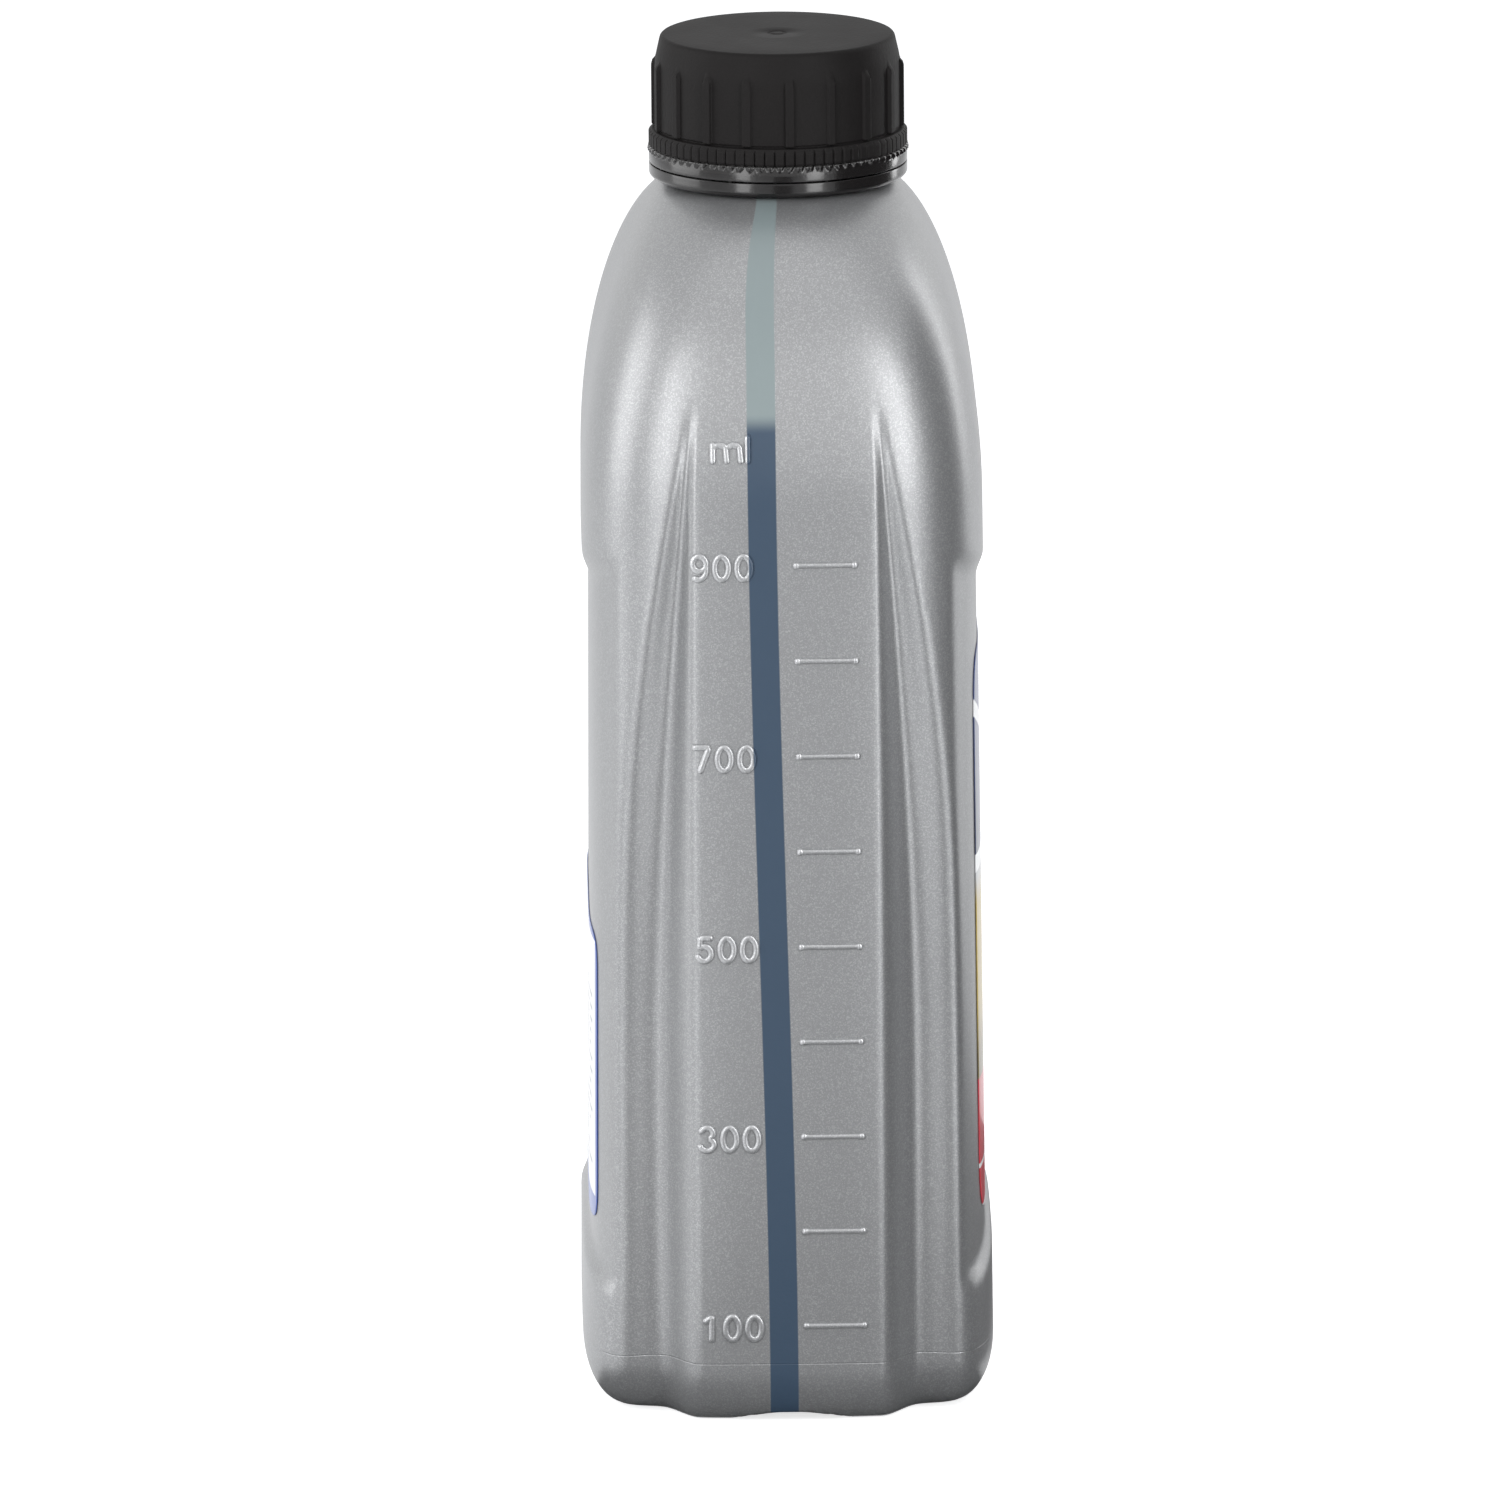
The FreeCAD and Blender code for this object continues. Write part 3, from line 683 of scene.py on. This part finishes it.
def front_print(web, finish, x, z):
    """Front label: a blue head with a pale sweep and a gold drop, a white line, a silver to gold field
    and a red foot with white lines. Later fields lie over earlier ones."""
    blue, white, gold, red = finish.blue, finish.white, finish.gold, finish.red
    square = web.math("POWER", x, 2.0)
    sweep = web.math("ADD", z, web.times(square, -6.0))
    across = web.math("DIVIDE", x, web.times(web.math("SUBTRACT", 126.2 * MM, z), 0.50))
    tip = web.times(web.step(web.math("ABSOLUTE", across), 1.02, 0.98),
                    web.band(z, 118.2 * MM, 126.2 * MM, 0.1 * MM))
    rise = web.math("POWER", web.math("SUBTRACT", z, 116.5 * MM), 2.0)
    away = web.math("SQRT", web.math("ADD", square, rise))
    silver = web.blend(web.step(z, 85.0 * MM, 91.0 * MM), gold, (0.45, 0.46, 0.48))
    metal = web.blend(web.step(z, 70.0 * MM, 58.0 * MM), silver, tuple(0.35 * part for part in gold))
    fields = [
        (web.step(z, 94.0 * MM, 129.0 * MM), blue),
        (web.band(sweep, 109.5 * MM, 112.5 * MM, 0.2 * MM), white),
        (web.math("MAXIMUM", tip, web.step(away, 4.4 * MM, 4.2 * MM)), gold),
        (web.step(z, 94.2 * MM, 94.0 * MM), metal),
        (web.band(z, 91.1 * MM, 94.2 * MM, 0.1 * MM), white),
        (web.step(z, 55.6 * MM, 55.3 * MM), red),
        (web.band(z, 40.0 * MM, 40.8 * MM, 0.1 * MM), white),
        (web.step(z, 33.2 * MM, 32.9 * MM), white)]
    shade = tuple(0.45 * part for part in blue)
    for mask, field in fields:
        shade = web.blend(mask, shade, field)
    return shade


def back_print(web, finish, x, z):
    """Back label: a blue border round a white field with rows of plain grey bars."""
    wave = web.math("FRACT", web.times(z, 1.0 / (2.2 * MM)))
    dash = web.noise(web.add("ShaderNodeTexCoord").outputs["Object"], 260.0, 0.0)
    row = 0.8
    for mask in (web.band(wave, 0.30, 0.62, 0.05), web.step(dash, 0.42, 0.46),
                 web.band(z, 40.0 * MM, 70.0 * MM, 0.3 * MM),
                 web.band(x, -32.0 * MM, 32.0 * MM, 0.2 * MM)):
        row = web.times(mask, row)
    field = web.blend(row, finish.white, (0.12, 0.13, 0.16))
    blue = tuple(min(2.2 * part, 1.0) for part in finish.blue)
    inner = web.times(web.band(x, -35.8 * MM, 35.8 * MM, 0.1 * MM),
                      web.band(z, 35.5 * MM, 79.6 * MM, 0.1 * MM))
    return web.blend(inner, blue, field)


def oil_material(settings):
    """Amber oil with a faint cloud."""
    amber = settings.finish.amber
    material, web, paint = new_material("Amber oil")
    cloud = web.noise(web.axes()[0], 30.0, 2.0)
    paint(Base_Color=web.blend(cloud, amber, tuple(0.6 * part for part in amber)),
          Roughness=0.08, Transmission_Weight=0.5, IOR=1.47)
    return material


def foam_material():
    """White foam of the liner."""
    material, web, paint = new_material("Liner foam")
    peel, _, mottling = grain(web, web.axes()[0], 2500.0, 3000.0, 300.0)
    paint(Base_Color=web.blend(mottling, (0.80, 0.80, 0.78), (0.70, 0.70, 0.67)),
          Normal=web.bump(peel, 0.1 * MM), Roughness=0.85)
    return material


def dress(piece, material):
    """Give a piece one material."""
    piece.data.materials.clear()
    piece.data.materials.append(material)


# Pieces

def body_rows(body):
    """Heights, trims and insets of the body's rows, outside from the base up."""
    rounding = np.linspace(0.0, np.pi / 2, 14)
    fine = 0.8 * MM
    low = body.recess_low - body.recess_bow - body.recess_edge
    heights = [body.rounding * (1.0 - np.cos(rounding)),
               np.linspace(body.rounding, low, 8)[1:],
               np.arange(low, body.recess_low + body.recess_edge, fine)[1:]]
    start = heights[-1][-1]
    heights += [np.linspace(start, body.recess_high - body.recess_edge, 26)[1:],
                np.arange(body.recess_high - body.recess_edge,
                          body.recess_high + body.recess_bow + body.recess_edge, fine)[1:]]
    start = heights[-1][-1]
    share = np.sin(np.linspace(0.0, np.pi / 2, 52))[1:]
    heights.append(start + (body.top - start) * share)
    trims = [body.trimming * (1.0 - np.sin(rounding)), np.zeros(sum(map(len, heights[1:])))]
    return np.concatenate(heights), np.concatenate(trims)


def bottle_grid(body, neck):
    """The whole blown wall as one surface: base, outside, neck, lip, bore and inside."""
    angle = circle(body.columns)[None, :]
    height, trim = body_rows(body)
    outside = skin(body, angle, height[:, None], trim[:, None], 0.0)
    outside[..., 2] = np.maximum(outside[..., 2], arch(body, outside[..., 1], 0.0))
    shrink = np.linspace(0.04, 0.97, 12)[:, None]
    base = outside[:1] * shrink[..., None]
    base[..., 2] = np.maximum(0.0, arch(body, base[..., 1], 0.0))
    bead = body.top + neck.bead_rise
    lip = body.top + neck.length
    bead_radius = neck.radius + neck.bead_proud
    bore = neck.radius - neck.wall
    profile = rounded([
        (body.root, body.top), (neck.radius, body.top + 0.3 * MM, 0.1 * MM),
        (neck.radius, bead, 0.2 * MM), (bead_radius, bead + 0.3 * MM, 0.25 * MM),
        (bead_radius, bead + neck.bead_height - 0.7 * MM, 0.25 * MM),
        (neck.radius, bead + neck.bead_height, 0.3 * MM), (neck.radius, lip, 0.5 * MM),
        (bore, lip, 0.5 * MM), (bore, body.top - 2.5 * MM)], 0.34 * MM)
    middle = body.top + neck.thread_rise

    def thread(angle, height):
        return helix(angle, height, middle, neck) * (height < lip - 1.0 * MM)

    finish = turned(profile, body.columns)
    outer = np.argmax(profile[:, 1])
    finish[:outer] = turned(profile[:outer], body.columns, thread)
    share = np.linspace(0.0, np.pi / 2, 22)[1:]
    inset = body.wall
    turned_in = np.linspace(0, np.pi / 2, 7)[1:]
    ceiling = body.top - inset
    down = np.concatenate([ceiling - (ceiling - body.face_start) * (1 - np.cos(share)),
                           np.linspace(body.face_start, body.rounding, 12)[1:],
                           inset + (body.rounding - inset) * (1 - np.sin(turned_in))])
    curl = body.trimming - inset * body.trimming / body.rounding
    curl = curl * (1 - np.cos(turned_in))
    cut = np.concatenate([np.zeros(len(down) - 6), curl])
    inside = skin(body, angle, down[:, None], cut[:, None], inset)
    inside[..., 2] = np.maximum(inside[..., 2], arch(body, inside[..., 1], inset))
    floor = inside[-1:] * np.linspace(0.9, 0.05, 5)[:, None][..., None]
    floor[..., 2] = np.maximum(inset, arch(body, floor[..., 1], inset))
    return np.concatenate([base, outside, finish[1:], inside, floor])


class OILBOTTLE_OT_body(bpy.types.Operator):
    """Blown bottle with its neck, thread and hollow inside"""
    bl_idname = "oilbottle.body"
    bl_label = "Blown Body"

    def execute(self, context):
        settings = context.scene.oil_bottle
        piece = surface("bottle_shell", [(bottle_grid(settings.body, settings.neck), "poles")])
        dress(piece, silver_material(settings, "Silver polyethylene", 1.0, 0.40))
        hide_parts("bottle")
        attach(piece, "bottle")
        return {"FINISHED"}


def arc(across, up, wide, high, start, finish):
    """Points of an ellipse's arc between two angles in degrees."""
    angle = np.radians(np.linspace(start, finish, max(int(abs(finish - start) / 12), 3)))
    return np.stack([across + wide * np.cos(angle), up + high * np.sin(angle)], axis=-1)


def line(*spots):
    """Points of a broken line."""
    return np.array(spots, float)


# Centre lines of the signs, in a box of width 1 and height 1
SIGNS = {
    "0": [arc(0.5, 0.5, 0.5, 0.5, 90, 450)],
    "1": [line((0.18, 0.80), (0.60, 1.0), (0.60, 0.0))],
    "3": [np.concatenate([arc(0.47, 0.76, 0.43, 0.24, 160, -80), arc(0.47, 0.27, 0.5, 0.27, 80, -160)])],
    "5": [np.concatenate([line((0.92, 1.0), (0.20, 1.0), (0.10, 0.52)),
                          arc(0.46, 0.32, 0.5, 0.32, 140, -155)])],
    "7": [line((0.0, 1.0), (1.0, 1.0), (0.38, 0.0))],
    "9": [np.concatenate([arc(0.5, 0.68, 0.48, 0.32, -20, 340),
                          arc(0.45, 0.40, 0.53, 0.40, 10, -120)])],
    "m": [line((0.0, 0.0), (0.0, 0.68)), line((0.0, 0.56), (0.4, 0.68), (0.9, 0.62), (1.0, 0.0)),
          line((1.0, 0.56), (1.4, 0.68), (1.9, 0.62), (2.0, 0.0))],
    "l": [line((0.90, 0.0), (0.90, 0.98))],
}


def word(text, height, scale, body):
    """Raised signs in a row that ends at the numbers' right end and is centred on a height."""
    grids = []
    for place, sign in enumerate(reversed(text)):
        right = -scale.digit_end - scale.stroke - place * scale.digit_step
        right -= scale.drift * (height - scale.first)
        for stroke in SIGNS[sign]:
            path = stroke * (scale.digit_width, scale.digit_height)
            path += (right - scale.digit_width, height - scale.digit_height / 2)
            grids.append(ridge(path, scale.stroke, scale.stroke_proud, body))
    return grids


class OILBOTTLE_OT_scale(bpy.types.Operator):
    """Raised bars and numbers of the volume scale"""
    bl_idname = "oilbottle.scale"
    bl_label = "Volume Scale"

    def execute(self, context):
        settings = context.scene.oil_bottle
        scale = settings.scale
        grids = []
        for step in range(scale.bars):
            height = scale.first + step * scale.pitch
            near = scale.bar_near - scale.drift * (height - scale.first)
            far = near + scale.bar_length
            grids.append(ridge([(near, height), (far, height)], scale.bar_half, scale.bar_proud,
                               settings.body))
            for end in (near, far):
                dot = [(end - 0.05 * MM, height), (end + 0.05 * MM, height)]
                grids.append(ridge(dot, scale.bar_half * 1.35, scale.bar_proud * 1.14, settings.body))
            if step % 2 == 0:
                grids += word(f"{step + 1}00", height - 0.3 * MM, scale, settings.body)
        top = scale.first + (scale.bars - 1) * scale.pitch + scale.word_rise
        grids += word("ml", top, scale, settings.body)
        piece = surface("scale_marks", grids)
        # The raised marks are the wall's plastic painted lighter by a gain of 1.38: a painted highlight
        # on their tops.
        dress(piece, silver_material(settings, "Raised polyethylene with painted highlight", 1.38, 0.30))
        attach(piece, "bottle")
        return {"FINISHED"}


def cap_angles(cap):
    """Angles of the cap's columns: close together at the walls of the ribs and of the teeth."""
    edge = cap.rib_half / cap.skirt * np.array([-1.30, -1.06, -0.94, -0.55, 0.0, 0.55, 0.94, 1.06, 1.30])
    rib = cap.rib_phase + 2 * np.pi * np.arange(cap.ribs) / cap.ribs
    spots = np.arange(cap.teeth)[:, None] + np.array([0.0, 0.25, 0.41, 0.46, 0.54, 0.59, 0.75])
    tooth = 2 * np.pi * spots.ravel() / cap.teeth
    angle = np.sort(np.concatenate([((rib[:, None] + edge[None, :]).ravel()) % (2 * np.pi), tooth]))
    return angle[np.concatenate([[True], np.diff(angle) > 1e-4])]


def cap_bumps(cap, foot, top):
    """Function of angle and height that gives the cap's ribs and the teeth of its knurl.

    A rib is a box across with steep walls and a rounded tip. The teeth are flat with narrow slots
    between, and under the fine groove each narrows to a point.
    """
    def bumps(angle, height):
        spacing = 2 * np.pi / cap.ribs
        beside = (angle - cap.rib_phase + spacing / 2) % spacing - spacing / 2
        across = np.abs(beside) * cap.skirt / cap.rib_half
        tip = top - cap.crown_height + 0.3 * MM
        rise = np.clip((tip - height) / cap.rib_tip, 0.0, 1.0)
        narrow = 0.35 + 0.65 * np.sqrt(rise)
        rib = cap.rib_proud * np.clip((1.05 * narrow - across) / 0.10, 0.0, 1.0)
        rib = rib * np.sqrt(rise) * (height > foot + cap.ledge + 0.2 * MM)
        wave = np.abs((angle * cap.teeth / (2 * np.pi)) % 1.0 - 0.5) * 2.0
        point = np.clip((foot + cap.groove - height) / (1.0 * MM), 0.0, 1.0)
        tooth = np.clip((wave - 0.08 - 0.92 * point) / 0.10, 0.0, 1.0) * cap.tooth_proud
        knurled = (height < foot + cap.ledge - 0.2 * MM) * (height > foot + 0.3 * MM)
        return rib + tooth * knurled
    return bumps


class OILBOTTLE_OT_cap(bpy.types.Operator):
    """Screw cap with ribs, knurled band and inner thread"""
    bl_idname = "oilbottle.cap"
    bl_label = "Screw Cap"

    def execute(self, context):
        settings = context.scene.oil_bottle
        cap = settings.cap
        foot, top = CAP_LOW[2], CAP_HIGH[2]
        knurl = cap.knurl - 0.3 * MM
        outer = rounded([
            (0.5 * MM, top), (1.0 * MM, top), (1.2 * MM, top - 0.15 * MM), (1.6 * MM, top - 0.15 * MM),
            (1.8 * MM, top), (cap.crown, top, cap.edge, 4.0 * MM),
            (cap.skirt, top - cap.crown_height, 1.5 * MM, 0.3 * MM),
            (cap.skirt, foot + cap.ledge + 0.45 * MM, 0.15 * MM, 0.9 * MM),
            (cap.skirt - 0.3 * MM, foot + cap.ledge + 0.15 * MM), (cap.knurl, foot + cap.ledge, 0.2 * MM),
            (cap.knurl, foot + cap.groove + 0.12 * MM), (knurl, foot + cap.groove + 0.05 * MM),
            (knurl, foot + cap.groove - 0.05 * MM), (cap.knurl + 0.1 * MM, foot + cap.groove - 0.12 * MM),
            (cap.band, foot + 1.2 * MM, 0.3 * MM, 0.25 * MM), (cap.band, foot, 0.15 * MM),
            (cap.relief, foot)], 0.42 * MM)
        inner = rounded([
            (cap.relief, foot), (cap.relief, foot + 3.4 * MM, 0.0, 1.2 * MM), (cap.bore, foot + 4.1 * MM),
            (cap.bore, top - cap.lid), (0.5 * MM, top - cap.lid, 0.0, 4.0 * MM)], 0.5 * MM)
        neck = settings.neck
        middle = settings.body.top + neck.thread_rise - neck.thread_pitch / 2

        def thread(angle, height):
            return -helix(angle, height, middle, neck)

        angles = cap_angles(cap)
        wall = turned(outer, angles, cap_bumps(cap, foot, top))
        lining = turned(inner, angles, thread)
        piece = surface("cap_shell", [(np.concatenate([wall, lining[1:]]), "poles")], flip=True)
        dress(piece, black_material(settings, "Satin black", 0.56, 0.00004, foot + cap.groove))
        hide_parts("screw_cap")
        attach(piece, "cap")
        return {"FINISHED"}


class OILBOTTLE_OT_ring(bpy.types.Operator):
    """Tamper ring with the stubs of its bridges"""
    bl_idname = "oilbottle.ring"
    bl_label = "Tamper Ring"

    def execute(self, context):
        settings = context.scene.oil_bottle
        cap = settings.cap
        foot, head = RING_LOW[2], RING_HIGH[2] - 0.2 * MM
        hook = settings.neck.radius + 0.4 * MM
        profile = rounded([
            (cap.relief, foot), (hook, foot + 0.6 * MM, 0.15 * MM), (hook, foot + 1.8 * MM, 0.15 * MM),
            (cap.relief, foot + 1.8 * MM), (cap.relief, head), (cap.band, head, 0.15 * MM),
            (cap.band, foot + 0.55 * MM, 0.3 * MM), (cap.band - 0.5 * MM, foot, 0.15 * MM),
            (cap.relief + 0.2 * MM, foot)], 0.3 * MM)
        grids = [(turned(profile[::-1], 240), "loop")]
        side = circle(16)[None, :]
        rise = np.linspace(-1.0, 1.0, 7)[:, None]
        for step in range(cap.bridges):
            angle = cap.bridge_phase + 2 * math.pi * step / cap.bridges
            size = cap.bridge * (1.0 - 0.15 * np.abs(rise) ** 3)
            out = cap.band - 0.75 * MM + size * np.cos(side)
            aside = size * np.sin(side)
            grids.append((np.stack([out * math.cos(angle) - aside * math.sin(angle),
                                    out * math.sin(angle) + aside * math.cos(angle),
                                    head + 0.1 * MM + 0.1 * MM * rise + 0.0 * side], axis=-1), "poles"))
        piece = surface("ring_shell", grids)
        dress(piece, black_material(settings, "Glossy black", 0.22, 0.00002, head + MM))
        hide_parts("tamper_ring")
        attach(piece, "bottle")
        return {"FINISHED"}


def label_grid(body, labels, side, low, high):
    """Film as a closed sheet: rings of a rounded rectangle grow from its middle on the outside, turn
    over the edge and shrink again on the inside."""
    corner = labels.corner
    half = labels.half - corner
    tall = (high - low) / 2 - corner
    angle = circle(240)
    centre = (low + high) / 2
    power = 14.0
    reach = (np.abs(np.cos(angle)) ** power + np.abs(np.sin(angle)) ** power) ** (-1.0 / power)
    x = (half + corner) * reach * np.cos(angle)
    z = (tall + corner) * reach * np.sin(angle)
    out = np.linspace(0.02, 1.0, 70)
    back = np.linspace(1.0, 0.05, 24)
    share = np.concatenate([out, back])[:, None]
    lift = np.concatenate([np.full(len(out), labels.gap + labels.film), np.full(len(back), labels.gap)])
    across = x[None, :] * share
    up = centre + z[None, :] * share
    y = face_reach(body, across, up, 0.0) + lift[:, None]
    return np.stack([across, side * y, up], axis=-1), "poles"


class OILBOTTLE_OT_labels(bpy.types.Operator):
    """Printed film on the front and back faces"""
    bl_idname = "oilbottle.labels"
    bl_label = "Labels"

    def execute(self, context):
        settings = context.scene.oil_bottle
        labels = settings.labels
        plans = [("front", -1, labels.front_low, labels.front_high, front_print),
                 ("back", 1, labels.back_low, labels.back_high, back_print)]
        for face, side, low, high, paint in plans:
            grid = label_grid(settings.body, labels, side, low, high)
            piece = surface(face + "_film", [grid], flip=side < 0)
            dress(piece, film_material(settings, face.capitalize() + " film", paint))
            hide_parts(face + "_label")
            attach(piece, "bottle")
        return {"FINISHED"}


class OILBOTTLE_OT_inside(bpy.types.Operator):
    """Finishes of the oil and of the cap's liner"""
    bl_idname = "oilbottle.inside"
    bl_label = "Oil and Liner"

    def execute(self, context):
        settings = context.scene.oil_bottle
        for node, material in (("oil_fill", oil_material(settings)), ("cap_liner", foam_material())):
            dress(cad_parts[node], material)
        return {"FINISHED"}


# Stage

# Middle of the bottle, which the lamps face
LAMP_TARGET = Vector((0.0, 0.0, 0.12))

# Each lamp's place, width and height in metres, and power in watts
LAMPS = {
    "left_light": ((0.03, 0.90, 0.38), (0.60, 0.80), 4.0),
    "left_strip": ((-0.55, 0.34, 0.34), (0.16, 0.68), 1.8),
    "right_strip": ((-0.55, -0.34, 0.34), (0.17, 0.68), 2.3),
    "rim_strip": ((0.47, -0.65, 0.36), (0.14, 0.70), 1.6),
    "top_light": ((-0.1, 0.0, 1.3), (0.8, 0.8), 0.9),
}

# Each dark card's corners on the floor in metres, and the height of its folded side
CARDS = {
    "right_card": ([(-0.075, -0.045), (-0.25, -0.30), (0.16, -0.30), (0.16, -0.045)], 0.45),
    # The card at the foot is painted shade: a dark sheet, seen only in reflections, in place of the
    # floor's shade near the bottle.
    "foot_shade_card": ([(-0.03, 0.05), (-0.03, -0.16), (-0.16, -0.10), (-0.16, 0.025)], 0.0),
    "front_card": ([(-0.16, 0.022), (-0.16, -0.045), (-1.80, -0.36), (-1.80, 0.14)], 0.0),
}


def lamp(name, place, size, power):
    """Rectangular soft light that faces the middle of the bottle."""
    light = bpy.data.lights.new(name, "AREA")
    light.shape = "RECTANGLE"
    light.size, light.size_y = size
    light.energy = power
    piece = placed(name, light)
    piece.location = place
    aim = LAMP_TARGET - Vector(place)
    piece.rotation_euler = aim.to_track_quat("-Z", "Y").to_euler()


def shown(web):
    """1 for the rays of the camera and of reflections and refractions, 0 for those that light."""
    path = web.add("ShaderNodeLightPath").outputs
    clear = web.math("MAXIMUM", path["Is Glossy Ray"], path["Is Transmission Ray"])
    return web.math("MAXIMUM", path["Is Camera Ray"], clear)


def dark_card(name, corners, height):
    """Dark card on the floor that is seen only in reflections. Where a height is given, it is folded
    up along its second side."""
    mesh = bpy.data.meshes.new(name)
    low = [(x, y, 0.5 * MM) for x, y in corners]
    fold = [(x, y, height) for x, y in corners[1:3]] if height else []
    faces = [(0, 1, 2, 3)] + ([(1, 4, 5, 2)] if height else [])
    mesh.from_pydata(low + fold, [], faces)
    card = placed(name, mesh)
    for kind in ("camera", "diffuse", "transmission", "volume_scatter", "shadow"):
        setattr(card, "visible_" + kind, False)
    material, _, paint = new_material("Dark card")
    paint(Base_Color=(0.02, 0.02, 0.022, 1.0), Roughness=1.0)
    dress(card, material)


class OILBOTTLE_OT_stage(bpy.types.Operator):
    """Pale floor, soft lights, white background and camera"""
    bl_idname = "oilbottle.stage"
    bl_label = "Stage"

    def execute(self, context):
        scene = context.scene
        view = scene.oil_bottle.view
        mesh = bpy.data.meshes.new("floor")
        far = 6.0
        corners = [(-far, -far, 0), (far, -far, 0), (far, far, 0), (-far, far, 0)]
        mesh.from_pydata(corners, [], [(0, 1, 2, 3)])
        floor = placed("floor", mesh)
        material, web, paint = new_material("Pale floor")
        seen = web.add("ShaderNodeLightPath").outputs["Is Camera Ray"]
        glow = web.math("ADD", web.times(shown(web), 0.45), web.times(seen, 0.25))
        paint(Base_Color=(0.80, 0.80, 0.80, 1.0), Roughness=1.0, Specular_IOR_Level=0.0,
              Emission_Color=(1.0, 1.0, 1.0, 1.0), Emission_Strength=glow)
        dress(floor, material)
        world = bpy.data.worlds.new("Soft studio")
        world.use_nodes = True
        scene.world = world
        web = Web(world.node_tree)
        fill = next(node for node in web.nodes if node.type == "BACKGROUND")
        fill.inputs["Color"].default_value = (0.80, 0.82, 0.85, 1.0)
        fill.inputs["Strength"].default_value = 0.56
        white = web.add("ShaderNodeBackground")
        white.inputs["Strength"].default_value = 1.0
        white.inputs["Color"].default_value = (1.0, 1.0, 1.0, 1.0)
        output = next(node for node in web.nodes if node.type == "OUTPUT_WORLD")
        mix = web.add("ShaderNodeMixShader")
        for socket, source in zip(mix.inputs, (shown(web), fill.outputs[0], white.outputs[0])):
            web.links.new(source, socket)
        web.links.new(mix.outputs[0], output.inputs["Surface"])
        for name, (place, size, power) in LAMPS.items():
            lamp(name, place, size, power)
        for name, (corners, height) in CARDS.items():
            dark_card(name, corners, height)
        camera = placed("camera", bpy.data.cameras.new("camera"))
        scene.camera = camera
        level = math.cos(view.elevation)
        back = Vector((math.sin(view.azimuth) * level, -math.cos(view.azimuth) * level,
                       math.sin(view.elevation)))
        target = Vector((0.0, view.target_y, view.target_z))
        camera.location = target + back * view.distance
        aim = (-back).to_track_quat("-Z", "Y") @ Quaternion((0.0, 0.0, 1.0), view.roll)
        camera.rotation_euler = aim.to_euler()
        camera.data.sensor_width = 36.0
        camera.data.lens = 36.0 * view.distance / view.frame_height
        camera.data.clip_end = 50.0
        scene.view_settings.view_transform = "Standard"
        return {"FINISHED"}


class OILBOTTLE_PT_panel(bpy.types.Panel):
    """Sizes, finishes and makers of the bottle"""
    bl_idname = "OILBOTTLE_PT_panel"
    bl_label = "Oil Bottle"
    bl_space_type = "VIEW_3D"
    bl_region_type = "UI"
    bl_category = "Oil Bottle"

    def draw(self, context):
        layout = self.layout
        settings = context.scene.oil_bottle
        for operator in OPERATORS:
            layout.operator(operator.bl_idname)
        for part in PARTS:
            group = getattr(settings, part)
            box = layout.box()
            box.label(text=part.capitalize())
            for key in group.bl_rna.properties.keys():
                if key not in {"rna_type", "name"}:
                    box.prop(group, key, text=key.replace("_", " ").capitalize())


GROUPS = (*PARTS.values(), OilBottleSettings)
OPERATORS = (OILBOTTLE_OT_body, OILBOTTLE_OT_scale, OILBOTTLE_OT_cap, OILBOTTLE_OT_ring,
             OILBOTTLE_OT_labels, OILBOTTLE_OT_inside, OILBOTTLE_OT_stage)


def register():
    """Register the classes and the scene's settings."""
    for item in GROUPS + OPERATORS + (OILBOTTLE_PT_panel,):
        bpy.utils.register_class(item)
    bpy.types.Scene.oil_bottle = bpy.props.PointerProperty(type=OilBottleSettings)


def unregister():
    """Take the settings and the classes away again."""
    del bpy.types.Scene.oil_bottle
    for item in reversed(GROUPS + OPERATORS + (OILBOTTLE_PT_panel,)):
        bpy.utils.unregister_class(item)


def main():
    """Make the bottle and its stage."""
    register()
    bpy.ops.oilbottle.body()
    bpy.ops.oilbottle.scale()
    bpy.ops.oilbottle.cap()
    bpy.ops.oilbottle.ring()
    bpy.ops.oilbottle.labels()
    bpy.ops.oilbottle.inside()
    bpy.ops.oilbottle.stage()


if __name__ == "__main__":
    main()
